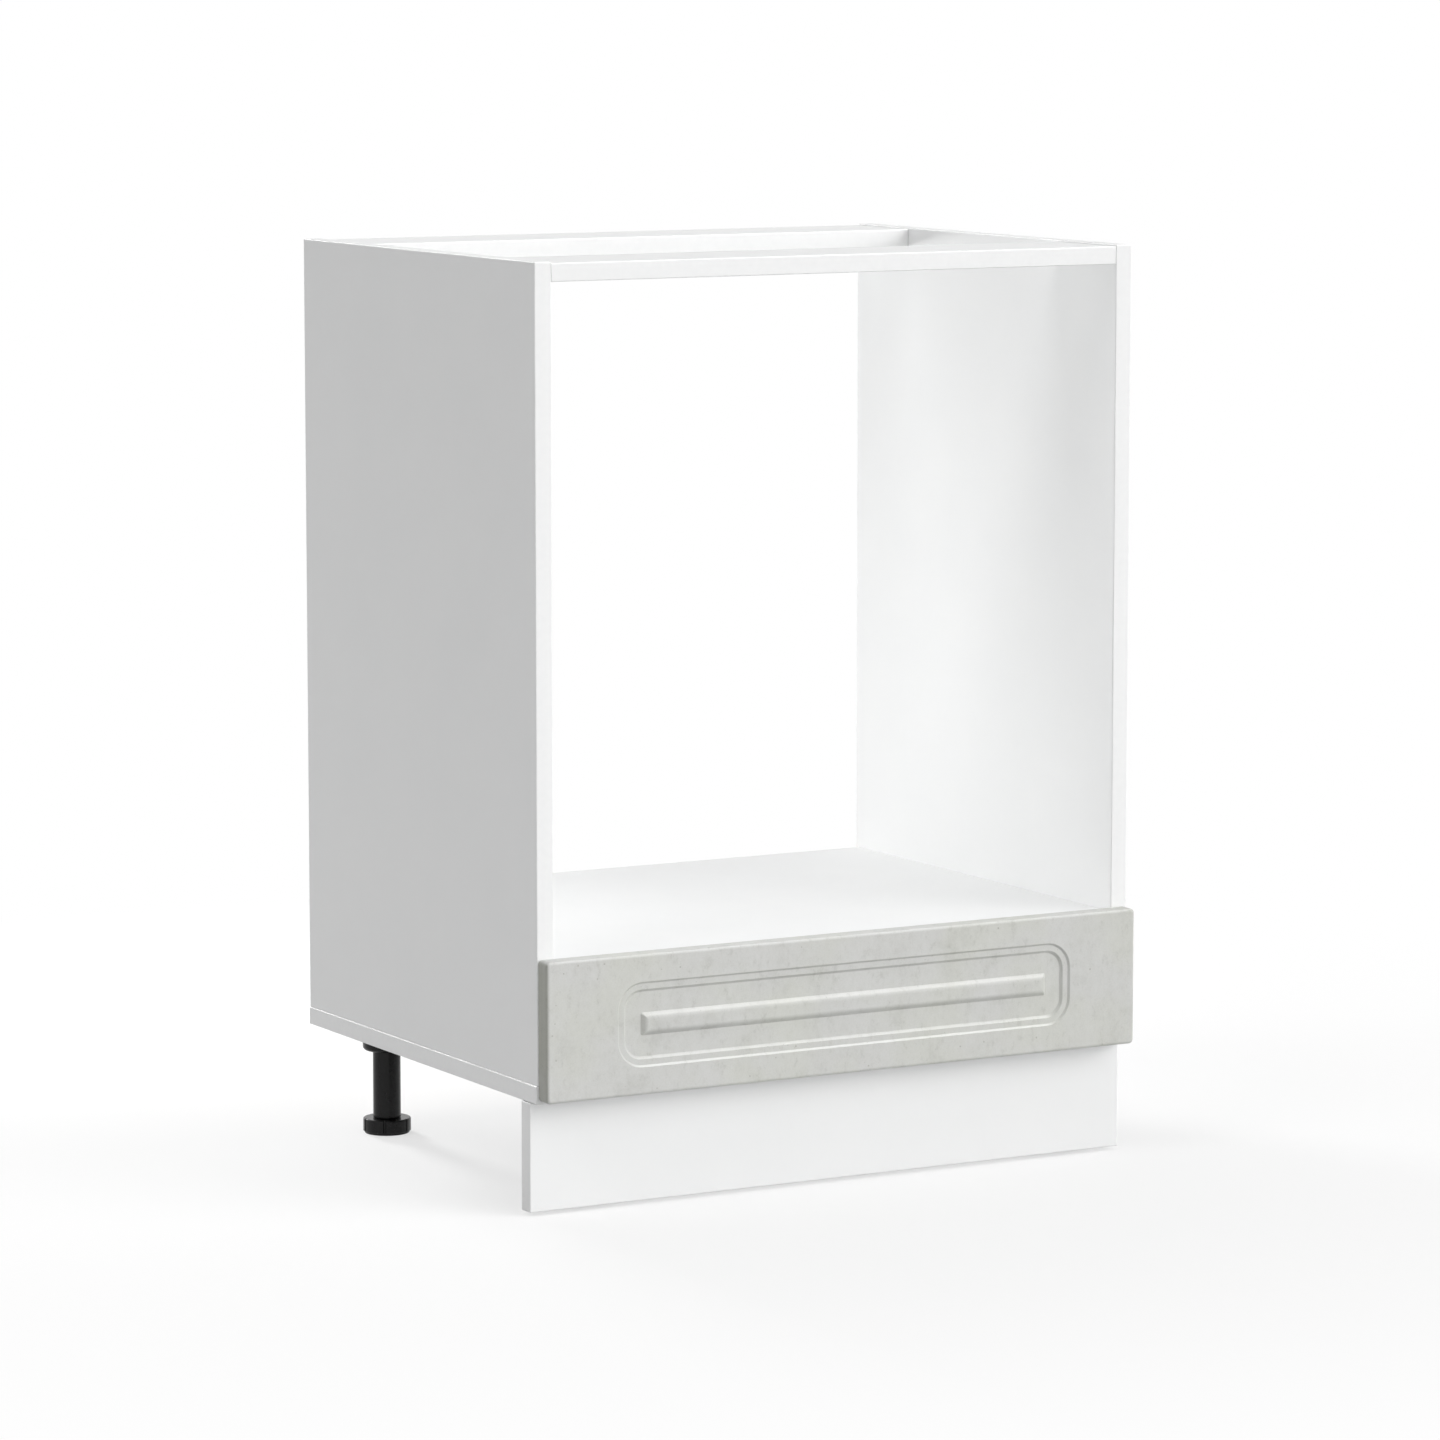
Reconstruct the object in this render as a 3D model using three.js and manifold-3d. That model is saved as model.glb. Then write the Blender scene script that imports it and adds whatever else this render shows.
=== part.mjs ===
// Base kitchen unit that houses a built-under oven: white laminated chipboard, open at the front,
// top and back, with a low drawer behind a milled, film-wrapped front, a clip-on plinth board and
// four adjustable legs. Millimetres, +Z up, the front faces -Y, X runs to the right.
//
// All pieces are placed from the carcass: X = 0 is its middle, Y = 0 the plane of its front edges,
// Z = 0 the floor. At the end the whole unit moves so that its origin is under its middle.
import * as THREE from 'three';
import { mergeVertices } from 'three/addons/utils/BufferGeometryUtils.js';
import Module from 'manifold-3d';

// ---- carcass ----
const unitWidth = 600;
const carcassDepth = 450;
const carcassHeight = 720;
const boardThickness = 16;
const bottomLedge = 1; // the bottom panel stands this far proud of each side panel
const boardGap = 0.0625; // hairline between boards that touch
const drawerBayHeight = 89.75; // between the bottom panel and the shelf; the oven's niche is above
const shelfBackSetback = 4;
const frontRailDepth = 98;
const rearRailDepth = 93;
const railDrop = 1.25; // the rails lie this far under the top edges of the sides

// ---- cam fittings and screws that hold the carcass ----
const camDiameter = 14.5;
const camHeight = 12;
const camClearance = 0.25; // all round the cam in its bore
const camReach = 34; // from the board's end to the middle of the cam
const camRecess = 0.3; // the cam lies this far inside the board's lower face
const camSlotLength = 9;
const camSlotWidth = 1.8;
const camSlotDepth = 1.6;
const boltShankDiameter = 5;
const boltThreadDiameter = 5.2;
const boltCollarDiameter = 6.8;
const boltCollarLength = 1.5;
const boltHeadDiameter = 6.4;
const boltHeadLength = 3;
const boltThreadLength = 10.5;
const boltClearance = 0.25;
const shelfCamSetback = 60;
const screwShankDiameter = 6.6;
const screwTipDiameter = 5.2;
const screwHeadDiameter = 9.8;
const screwHeadHeight = 3.5;
const screwLength = 50;
const screwSetback = 80;
const screwClearance = 0.3;

// ---- legs ----
const legHeight = 100;
const legSideSetback = 59.5; // from the ends of the bottom panel to the axis of the leg
const legFrontSetback = 54;
const legRearSetback = 39;
const socketDiameter = 44;
const socketHeight = 23;
const socketPlate = 3;
const socketRound = 4;
const pegDiameter = 10;
const pegLength = 11;
const pegClearance = 0.3;
const tubeDiameter = 25.5;
const tubeBore = 16.8;
const tubeClearance = 0.3; // between tube and socket, all round and above
const footDiameter = 44;
const footHeight = 14;
const footLip = 2; // height of the narrower lip that meets the floor
const footLipInset = 1.4;
const footRound = 0.8;
const footGap = 0.4; // between the foot and the lower end of the tube
const stemClearance = 0.3; // between the foot's stem and the tube, all round
const stemLength = 46;
const footGrooves = 6;
const grooveDiameter = 2.8;
const grooveTurn = 58; // degrees from +X to the first groove

// ---- plinth ----
const plinthThickness = 16;
const plinthFloorGap = 3.5;
const plinthRecess = 12.5; // behind the front edges of the carcass
const plinthTopGap = 0.5;
const clipHeight = 24;
const clipLift = 42; // from the floor to the lower side of the clip
const clipWall = 2.6;
const clipClearance = 0.3;
const clipArm = 7; // the arms reach this far behind the axis of the leg
const clipPlateWidth = 48;
const clipPlateThickness = 3;
const clipNeckWidth = 14; // of the web between the plate and the ring

// ---- milled drawer front ----
const frontThickness = 16;
const frontSideGap = 2; // from the end of the front to the end of the bottom panel
const frontGap = 0.5; // between the front and the carcass
const frontBottomGap = 2.5; // above the lower face of the bottom panel
const frontShelfOverlap = 3.75; // the front stands this far above the shelf
const frontEdgeRound = 3;
const frontCornerRadius = 4;
const reliefEndInset = 68.5; // from the ends of the front to the outline of the milled field
const reliefEdgeInset = 24.25;
const reliefCornerRadius = 24;
const outerStepDepth = 1.75;
const innerStepDepth = 2.25;
const stepSpacing = 6.75; // from the outline of the outer step to that of the inner one
const barEndGap = 17.5; // from the outline of the inner step to the raised bar
const barHeight = 20;
const barBevel = 4;

// ---- drawer box ----
const drawerDepth = 400;
const drawerBoard = 16;
const drawerTopGap = 12; // between the box and the shelf
const drawerBaseThickness = 3;
const slideSpace = 12.5; // between the box and the side of the carcass
const frontScrewInset = 120;
const frontScrewHeadDiameter = 8;
const frontScrewHeadHeight = 2.4;
const frontScrewDiameter = 3.6;
const frontScrewReach = 10;
const frontScrewClearance = 0.25;

// ---- roller runners ----
const runnerFloorGap = 12; // between the cabinet runner and the bottom panel
const runnerFrontSetback = 2;
const runnerSheet = 1.2;
const runnerLipGap = 0.6; // between the cabinet runner's lips and the web of the drawer runner
const drawerTrackGap = 1.3; // between the drawer's track and the web of the cabinet runner
const trackClearance = 1.8; // over the drawer's track, under the lip of the cabinet runner
const supportWidth = 12; // the flange that the drawer box lies on
const rollerDiameter = 18;
const rollerSetback = 13; // from the end of a runner to the axis of its roller
const rollerSideGap = 0.8;
const rollerClearance = 0.3; // between a roller and the track that it rolls on
const rollerBoreGap = 0.2; // between a roller and its rivet, all round
const rollerChamfer = 0.6;
const rivetDiameter = 5;
const rivetHeadDiameter = 8;
const rivetHeadHeight = 0.8;
const rivetHeadGap = 1.1; // between a rivet's head and the web of the other runner

// ---- fineness of round forms ----
const roundSides = 20;
const boreSides = 12;
const grooveSides = 8;
const rollerSides = 36;
const cornerSteps = 3;

// ---- places that follow from the sizes above ----
const halfInside = unitWidth / 2 - bottomLedge - boardThickness;
const bottomTop = legHeight + boardThickness;
const unitTop = legHeight + carcassHeight;
const railTop = unitTop - railDrop;
const railUnderside = railTop - boardThickness;
const shelfUnderside = bottomTop + drawerBayHeight;
const shelfTop = shelfUnderside + boardThickness;
const shelfDepth = carcassDepth - shelfBackSetback;
const frontWidth = unitWidth - 2 * frontSideGap;
const frontBottom = legHeight + frontBottomGap;
const frontHeight = shelfTop + frontShelfOverlap - frontBottom;
const frontBack = -frontGap;
const runnerBottom = bottomTop + runnerFloorGap;
const rollerAxisHeight = runnerBottom + runnerSheet + rollerClearance + rollerDiameter / 2;
const trackUnderside = rollerAxisHeight + rollerDiameter / 2 + rollerClearance;
const runnerTop = trackUnderside + runnerSheet + trackClearance + runnerSheet;
const supportTop = runnerBottom + 2.5 * runnerSheet;
const boxBottom = supportTop + drawerBaseThickness;
const boxTop = shelfUnderside - drawerTopGap;
const halfBox = halfInside - slideSpace;
const runnerLength = drawerDepth;
const legX = unitWidth / 2 - legSideSetback;
const frontScrewX = halfBox - frontScrewInset;
const frontScrewHeight = (boxBottom + boxTop) / 2;
const webSpace = slideSpace - boardGap - 2 * runnerSheet;
const rollerWidth = webSpace - rollerSideGap - rollerClearance - rivetHeadHeight - rivetHeadGap;

const white = new THREE.MeshStandardMaterial({ color: 0xf3f3f2, roughness: 0.45, metalness: 0 });
const concreteFilm = new THREE.MeshStandardMaterial({ color: 0xcdcec9, roughness: 0.5, metalness: 0 });
const blackPlastic = new THREE.MeshStandardMaterial({ color: 0x1a1a1b, roughness: 0.4, metalness: 0 });
const clearPlastic = new THREE.MeshStandardMaterial({ color: 0xe4e5e3, roughness: 0.35, metalness: 0 });
const whiteSteel = new THREE.MeshStandardMaterial({ color: 0xececea, roughness: 0.35, metalness: 0.3 });
const zincSteel = new THREE.MeshStandardMaterial({ color: 0xb9bcbe, roughness: 0.35, metalness: 0.9 });
const nylon = new THREE.MeshStandardMaterial({ color: 0xdedcd4, roughness: 0.5, metalness: 0 });

const unit = new THREE.Group();
const wasm = await Module();
wasm.setup();

function point(x, y, z) {
  return new THREE.Vector3(x, y, z);
}

function toSolid(geometry) {
  const bare = geometry.clone();
  bare.deleteAttribute('normal');
  bare.deleteAttribute('uv');
  const merged = mergeVertices(bare, 1e-4);
  return new wasm.Manifold(new wasm.Mesh({
    numProp: 3,
    vertProperties: merged.attributes.position.array,
    triVerts: new Uint32Array(merged.index.array),
  }));
}

function toGeometry(solid) {
  const mesh = solid.getMesh();
  const geometry = new THREE.BufferGeometry();
  geometry.setAttribute('position', new THREE.BufferAttribute(mesh.vertProperties, 3));
  geometry.setIndex(new THREE.BufferAttribute(mesh.triVerts, 1));
  return geometry;
}

function cut(geometry, cutters) {
  return toGeometry(cutters.reduce((solid, cutter) => solid.subtract(toSolid(cutter)), toSolid(geometry)));
}

function join(...geometries) {
  return toGeometry(geometries.map(toSolid).reduce((solid, other) => solid.add(other)));
}

// Hangs a piece in the unit. Its geometry is drawn around its own middle or seat, at `place`.
function addPiece(name, geometry, material, place) {
  const mesh = new THREE.Mesh(geometry, material);
  mesh.name = name;
  mesh.position.copy(place);
  unit.add(mesh);
}

// A board from its lowest to its highest corner, with bores given in the unit's own coordinates.
function addBoard(name, low, high, material, bores = []) {
  const middle = low.clone().add(high).multiplyScalar(0.5);
  const size = high.clone().sub(low);
  const sawn = new THREE.BoxGeometry(size.x, size.y, size.z);
  const moved = bores.map((bore) => bore.clone().translate(-middle.x, -middle.y, -middle.z));
  addPiece(name, moved.length ? cut(sawn, moved) : sawn, material, middle);
}

// A round bar between two points.
function bar(diameter, start, end, sides = boreSides) {
  const along = end.clone().sub(start);
  const geometry = new THREE.CylinderGeometry(diameter / 2, diameter / 2, along.length(), sides);
  const turn = new THREE.Quaternion().setFromUnitVectors(point(0, 1, 0), along.normalize());
  geometry.applyQuaternion(turn);
  const middle = start.clone().add(end).multiplyScalar(0.5);
  return geometry.translate(middle.x, middle.y, middle.z);
}

// A turned piece: profile points are [radius, distance along the axis], and the axis starts at 0,0,0.
function turned(profile, axis, sides = roundSides) {
  const geometry = new THREE.LatheGeometry(profile.map(([r, t]) => new THREE.Vector2(r, t)), sides);
  const turn = new THREE.Quaternion().setFromUnitVectors(point(0, 1, 0), axis);
  return geometry.applyQuaternion(turn);
}

// Points of a quarter round in a turned profile, about [centreRadius, centreAlong].
function quarter(centreRadius, centreAlong, radius, startDegrees, endDegrees) {
  const points = [];
  for (let step = 0; step <= cornerSteps; step += 1) {
    const degrees = startDegrees + ((endDegrees - startDegrees) * step) / cornerSteps;
    const angle = THREE.MathUtils.degToRad(degrees);
    points.push([centreRadius + radius * Math.cos(angle), centreAlong + radius * Math.sin(angle)]);
  }
  return points;
}

function roundedRectangle(width, height, radius) {
  const shape = new THREE.Shape();
  const x = width / 2 - radius;
  const y = height / 2 - radius;
  shape.absarc(x, -y, radius, -Math.PI / 2, 0);
  shape.absarc(x, y, radius, 0, Math.PI / 2);
  shape.absarc(-x, y, radius, Math.PI / 2, Math.PI);
  shape.absarc(-x, -y, radius, Math.PI, 1.5 * Math.PI);
  shape.closePath();
  return shape;
}

// Every cam fitting: which boards it joins, where along Y, and the board's lower face.
const camFittings = [
  { name: 'front_rail', y: frontRailDepth / 2, underside: railUnderside },
  { name: 'rear_rail', y: carcassDepth - rearRailDepth / 2, underside: railUnderside },
  { name: 'shelf_front', y: shelfCamSetback, underside: shelfUnderside },
  { name: 'shelf_rear', y: shelfDepth - shelfCamSetback, underside: shelfUnderside },
];
const hands = [{ hand: 'left', sign: -1 }, { hand: 'right', sign: 1 }];
const screwPlaces = [{ end: 'front', y: screwSetback }, { end: 'rear', y: carcassDepth - screwSetback }];

// Bores of a horizontal board for its fittings: an end bore for each bolt and a pocket for each cam.
function camBores(fittings) {
  return fittings.flatMap(({ y, underside }) => hands.flatMap(({ sign }) => {
    const axisHeight = underside + boardThickness / 2;
    const camX = sign * (halfInside - camReach);
    return [
      bar(boltCollarDiameter + 2 * boltClearance, point(camX, y, axisHeight),
        point(sign * (halfInside + boardGap), y, axisHeight)),
      bar(camDiameter + 2 * camClearance, point(camX, y, underside - camRecess),
        point(camX, y, underside + camRecess + camHeight + camClearance), roundSides),
    ];
  }));
}

// Bores of a side panel: a blind hole for the thread of each bolt, and one for each screw from below.
function sidePanelBores(sign) {
  const threadHoles = camFittings.map(({ y, underside }) => {
    const axisHeight = underside + boardThickness / 2;
    return bar(boltThreadDiameter + 2 * boltClearance, point(sign * (halfInside - boardGap), y, axisHeight),
      point(sign * (halfInside + boltThreadLength + boltClearance), y, axisHeight));
  });
  const screwX = sign * (halfInside + boardThickness / 2);
  const screwTip = legHeight + screwLength + screwClearance;
  const screwHoles = screwPlaces.map(({ y }) => bar(screwTipDiameter + 2 * screwClearance,
    point(screwX, y, bottomTop), point(screwX, y, screwTip)));
  return threadHoles.concat(screwHoles);
}

function addCarcass() {
  const low = bottomTop + boardGap;
  for (const { hand, sign } of hands) {
    const inner = sign * halfInside;
    const outer = sign * (halfInside + boardThickness);
    addBoard(`${hand}_side`, point(Math.min(inner, outer), 0, low),
      point(Math.max(inner, outer), carcassDepth, unitTop), white, sidePanelBores(sign));
  }
  const screwBores = hands.flatMap(({ sign }) => screwPlaces.flatMap(({ y }) => {
    const x = sign * (halfInside + boardThickness / 2);
    return [
      bar(screwShankDiameter + 2 * screwClearance, point(x, y, legHeight),
        point(x, y, bottomTop + boardGap)),
      bar(screwHeadDiameter + 2 * screwClearance, point(x, y, legHeight - boardGap),
        point(x, y, legHeight + screwHeadHeight + screwClearance)),
    ];
  }));
  const pegBores = legPlaces().map(({ x, y }) => bar(pegDiameter + 2 * pegClearance,
    point(x, y, legHeight - boardGap), point(x, y, legHeight + pegLength + pegClearance)));
  addBoard('bottom_panel', point(-unitWidth / 2, 0, legHeight),
    point(unitWidth / 2, carcassDepth, bottomTop), white, screwBores.concat(pegBores));
  const halfBoard = halfInside - boardGap;
  addBoard('oven_shelf', point(-halfBoard, 0, shelfUnderside),
    point(halfBoard, shelfDepth, shelfTop), white, camBores(camFittings.slice(2)));
  addBoard('front_rail', point(-halfBoard, 0, railUnderside),
    point(halfBoard, frontRailDepth, railTop), white, camBores([camFittings[0]]));
  addBoard('rear_rail', point(-halfBoard, carcassDepth - rearRailDepth, railUnderside),
    point(halfBoard, carcassDepth, railTop), white, camBores([camFittings[1]]));
}

// A cam is a short zinc drum with a cross slot below and a channel that lets the bolt's head in.
function camGeometry(sign) {
  const drum = bar(camDiameter, point(0, 0, camRecess), point(0, 0, camRecess + camHeight), roundSides);
  const axisHeight = boardThickness / 2;
  const channel = bar(boltHeadDiameter + 2 * boltClearance, point(-sign * boltHeadLength, 0, axisHeight),
    point(sign * camDiameter, 0, axisHeight));
  const slot = new THREE.BoxGeometry(camSlotLength, camSlotWidth, 2 * camSlotDepth)
    .translate(0, 0, camRecess);
  const crossSlot = new THREE.BoxGeometry(camSlotWidth, camSlotLength, 2 * camSlotDepth)
    .translate(0, 0, camRecess);
  return cut(drum, [channel, slot, crossSlot]);
}

// A connecting bolt: thread in the side panel, collar against it, shank and head in the cam.
function boltGeometry(sign) {
  const thread = boltThreadDiameter / 2;
  const shank = boltShankDiameter / 2;
  const collar = boltCollarDiameter / 2;
  const head = boltHeadDiameter / 2;
  const headEnd = camReach + boltHeadLength / 2;
  return turned([
    [0, -boltThreadLength], [thread, -boltThreadLength], [thread, boardGap], [collar, boardGap],
    [collar, boltCollarLength], [shank, boltCollarLength],
    [shank, headEnd - boltHeadLength], [head, headEnd - boltHeadLength], [head, headEnd], [0, headEnd],
  ], point(-sign, 0, 0), boreSides);
}

function addCamFittings() {
  for (const { name, y, underside } of camFittings) {
    for (const { hand, sign } of hands) {
      addPiece(`cam_${name}_${hand}`, camGeometry(sign), zincSteel,
        point(sign * (halfInside - camReach), y, underside));
      addPiece(`cam_bolt_${name}_${hand}`, boltGeometry(sign), zincSteel,
        point(sign * halfInside, y, underside + boardThickness / 2));
    }
  }
}

function addCarcassScrews() {
  const shank = screwShankDiameter / 2;
  const tip = screwTipDiameter / 2;
  const geometry = turned([
    [0, screwClearance], [screwHeadDiameter / 2, screwClearance], [shank, screwHeadHeight],
    [shank, boardThickness], [tip, boardThickness], [tip, screwLength - tip], [0, screwLength],
  ], point(0, 0, 1), boreSides);
  for (const { hand, sign } of hands) {
    for (const { end, y } of screwPlaces) {
      addPiece(`side_screw_${end}_${hand}`, geometry, zincSteel,
        point(sign * (halfInside + boardThickness / 2), y, legHeight));
    }
  }
}

function legPlaces() {
  return hands.flatMap(({ hand, sign }) => [
    { name: `front_${hand}`, x: sign * legX, y: legFrontSetback },
    { name: `rear_${hand}`, x: sign * legX, y: carcassDepth - legRearSetback },
  ]);
}

// The socket is a cup that is knocked into the bottom panel by its peg and takes the tube.
function socketGeometry() {
  const radius = socketDiameter / 2;
  const bore = tubeDiameter / 2 + tubeClearance;
  return turned([
    [0, -socketPlate], [bore, -socketPlate], [bore, -socketHeight],
    ...quarter(radius - socketRound, socketRound - socketHeight, socketRound, -90, 0),
    [radius, 0], [pegDiameter / 2, 0], [pegDiameter / 2, pegLength], [0, pegLength],
  ], point(0, 0, 1));
}

function tubeGeometry() {
  const lowEnd = footHeight + footGap;
  const highEnd = legHeight - boardGap - socketPlate - tubeClearance;
  return turned([
    [tubeBore / 2, lowEnd], [tubeDiameter / 2, lowEnd], [tubeDiameter / 2, highEnd],
    [tubeBore / 2, highEnd], [tubeBore / 2, lowEnd],
  ], point(0, 0, 1));
}

// The foot is turned by its grooved rim, and its stem climbs in the tube.
function footGeometry() {
  const radius = footDiameter / 2;
  const stem = tubeBore / 2 - stemClearance;
  const disc = turned([
    [0, 0], [radius - footLipInset, 0], [radius - footLipInset, footLip], [radius, footLip],
    ...quarter(radius - footRound, footHeight - footRound, footRound, 0, 90),
    [stem, footHeight], [stem, footHeight + stemLength], [0, footHeight + stemLength],
  ], point(0, 0, 1));
  const grooves = [];
  for (let index = 0; index < footGrooves; index += 1) {
    const angle = THREE.MathUtils.degToRad(grooveTurn + (360 * index) / footGrooves);
    const x = radius * Math.cos(angle);
    const y = radius * Math.sin(angle);
    grooves.push(bar(grooveDiameter, point(x, y, footLip), point(x, y, footHeight + footGap), grooveSides));
  }
  return cut(disc, grooves);
}

function addLegs() {
  for (const { name, x, y } of legPlaces()) {
    addPiece(`leg_socket_${name}`, socketGeometry(), blackPlastic, point(x, y, legHeight - boardGap));
    addPiece(`leg_tube_${name}`, tubeGeometry(), blackPlastic, point(x, y, 0));
    addPiece(`leg_foot_${name}`, footGeometry(), blackPlastic, point(x, y, 0));
  }
}

// The clip's plate lies on the back of the board, and its two arms take the tube of a front leg.
function clipGeometry() {
  const inner = tubeDiameter / 2 + clipClearance;
  const outer = inner + clipWall;
  const plateBack = plinthRecess + plinthThickness + boardGap - legFrontSetback;
  const plateFront = plateBack + clipPlateThickness;
  const neck = clipNeckWidth / 2;
  const meet = Math.acos(neck / outer);
  const shape = new THREE.Shape();
  shape.moveTo(-clipPlateWidth / 2, plateBack);
  shape.lineTo(clipPlateWidth / 2, plateBack);
  shape.lineTo(clipPlateWidth / 2, plateFront);
  shape.lineTo(neck, plateFront);
  shape.absarc(0, 0, outer, -meet, 0);
  shape.lineTo(outer, clipArm);
  shape.lineTo(inner, clipArm);
  shape.absarc(0, 0, inner, 0, -Math.PI, true);
  shape.lineTo(-inner, clipArm);
  shape.lineTo(-outer, clipArm);
  shape.absarc(0, 0, outer, -Math.PI, meet - Math.PI);
  shape.lineTo(-neck, plateFront);
  shape.lineTo(-clipPlateWidth / 2, plateFront);
  shape.closePath();
  return new THREE.ExtrudeGeometry(shape, {
    depth: clipHeight,
    bevelEnabled: false,
    curveSegments: boreSides,
  });
}

function addPlinth() {
  addBoard('plinth_board', point(-unitWidth / 2, plinthRecess, plinthFloorGap),
    point(unitWidth / 2, plinthRecess + plinthThickness, legHeight - plinthTopGap), white);
  for (const { hand, sign } of hands) {
    addPiece(`plinth_clip_${hand}`, clipGeometry(), clearPlastic,
      point(sign * legX, legFrontSetback, clipLift));
  }
}

// A raised plate with a sloping rim, drawn on the XY plane: `slope` wide and `rise` high all round.
function slopedPlate(shape, straight, rise, slope) {
  return new THREE.ExtrudeGeometry(shape, {
    depth: straight,
    bevelEnabled: true,
    bevelThickness: rise,
    bevelSize: slope,
    bevelOffset: -slope,
    bevelSegments: 1,
    curveSegments: 2 * cornerSteps,
  });
}

// The milled front, drawn face up: two stepped recesses with round corners, and a bevelled bar in them.
function drawerFrontGeometry() {
  const round = frontEdgeRound;
  const blank = new THREE.ExtrudeGeometry(roundedRectangle(frontWidth, frontHeight, frontCornerRadius), {
    depth: frontThickness,
    bevelEnabled: true,
    bevelThickness: round,
    bevelSize: round,
    bevelOffset: -round,
    bevelSegments: cornerSteps,
    curveSegments: cornerSteps,
  }).translate(0, 0, -round);
  const backTrim = new THREE.BoxGeometry(2 * frontWidth, 2 * frontHeight, 2 * round)
    .translate(0, 0, -round);
  const outerWidth = frontWidth - 2 * reliefEndInset;
  const outerHeight = frontHeight - 2 * reliefEdgeInset;
  const outer = slopedPlate(roundedRectangle(outerWidth, outerHeight, reliefCornerRadius), round,
    outerStepDepth, outerStepDepth).translate(0, 0, frontThickness);
  const innerWidth = outerWidth - 2 * stepSpacing;
  const innerHeight = outerHeight - 2 * stepSpacing;
  const inner = slopedPlate(roundedRectangle(innerWidth, innerHeight, reliefCornerRadius - stepSpacing),
    outerStepDepth + round, innerStepDepth, innerStepDepth)
    .translate(0, 0, frontThickness - outerStepDepth);
  const barWidth = innerWidth - 2 * barEndGap;
  const barShape = new THREE.Shape();
  barShape.moveTo(-barWidth / 2, -barHeight / 2);
  barShape.lineTo(barWidth / 2, -barHeight / 2);
  barShape.lineTo(barWidth / 2, barHeight / 2);
  barShape.lineTo(-barWidth / 2, barHeight / 2);
  barShape.closePath();
  const barRise = outerStepDepth + innerStepDepth;
  const raisedBar = slopedPlate(barShape, round, barRise, barBevel)
    .translate(0, 0, frontThickness - barRise - round);
  const screwUp = frontScrewHeight - frontBottom - frontHeight / 2;
  const screwHoles = [-1, 1].map((sign) => bar(frontScrewDiameter + 2 * frontScrewClearance,
    point(sign * frontScrewX, screwUp, -round),
    point(sign * frontScrewX, screwUp, frontScrewReach + frontScrewClearance)));
  const recessed = cut(blank, [backTrim, outer, inner]);
  return cut(join(recessed, raisedBar), screwHoles).rotateX(Math.PI / 2);
}

// A pan-head screw, seated with its head on the inside of the box and its tip in the milled front.
function frontScrewGeometry() {
  const shank = frontScrewDiameter / 2;
  const head = frontScrewHeadDiameter / 2;
  const headBack = drawerBoard + frontScrewClearance;
  return turned([
    [0, -frontScrewReach], [shank, shank - frontScrewReach], [shank, headBack],
    [head, headBack], [head, headBack + frontScrewHeadHeight / 2],
    [shank, headBack + frontScrewHeadHeight], [0, headBack + frontScrewHeadHeight],
  ], point(0, 1, 0), boreSides);
}

function addDrawerBox() {
  addPiece('drawer_front', drawerFrontGeometry(), concreteFilm,
    point(0, frontBack, frontBottom + frontHeight / 2));
  const back = frontBack + drawerDepth;
  for (const { hand, sign } of hands) {
    const outer = sign * halfBox;
    const inner = sign * (halfBox - drawerBoard);
    addBoard(`drawer_side_${hand}`,
      point(Math.min(inner, outer), frontBack + boardGap, boxBottom + boardGap),
      point(Math.max(inner, outer), back, boxTop), white);
  }
  const halfInner = halfBox - drawerBoard - boardGap;
  const screws = [-1, 1].map((sign) => bar(frontScrewDiameter + 2 * frontScrewClearance,
    point(sign * frontScrewX, frontBack, frontScrewHeight),
    point(sign * frontScrewX, frontBack + 2 * drawerBoard, frontScrewHeight)));
  addBoard('drawer_inner_front', point(-halfInner, frontBack + boardGap, boxBottom + boardGap),
    point(halfInner, frontBack + drawerBoard, boxTop), white, screws);
  addBoard('drawer_back', point(-halfInner, back - drawerBoard, boxBottom + boardGap),
    point(halfInner, back, boxTop), white);
  addBoard('drawer_base', point(-halfBox, frontBack + boardGap, supportTop + boardGap),
    point(halfBox, back, boxBottom), white);
  for (const { hand, sign } of hands) {
    addPiece(`front_screw_${hand}`, frontScrewGeometry(), zincSteel,
      point(sign * frontScrewX, frontBack, frontScrewHeight));
  }
}

// Bent sheet: its section in the XZ plane, as [distance across, height] corners, drawn out along Y.
function profileSheet(corners, sign) {
  const outline = corners.map(([across, up]) => new THREE.Vector2(-sign * across, up));
  const shape = new THREE.Shape(outline);
  return new THREE.ExtrudeGeometry(shape, { depth: runnerLength, bevelEnabled: false })
    .rotateX(Math.PI / 2)
    .translate(0, runnerLength, 0);
}

// Distances across the slide space are measured from the side of the carcass towards the drawer.
function cabinetRunnerGeometry(sign) {
  const sheet = runnerSheet;
  const lip = sheet + webSpace - runnerLipGap;
  const height = runnerTop - runnerBottom;
  const channel = profileSheet([
    [0, 0], [lip, 0], [lip, sheet], [sheet, sheet], [sheet, height - sheet], [lip, height - sheet],
    [lip, height], [0, height],
  ], sign);
  const axis = rollerAxisHeight - runnerBottom;
  const headAt = sheet + rollerSideGap + rollerWidth + rollerClearance;
  const pin = bar(rivetDiameter, point(-sign * sheet / 2, rollerSetback, axis),
    point(-sign * (headAt + rivetHeadHeight / 2), rollerSetback, axis), roundSides);
  const head = bar(rivetHeadDiameter, point(-sign * headAt, rollerSetback, axis),
    point(-sign * (headAt + rivetHeadHeight), rollerSetback, axis), roundSides);
  return join(channel, pin, head);
}

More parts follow.
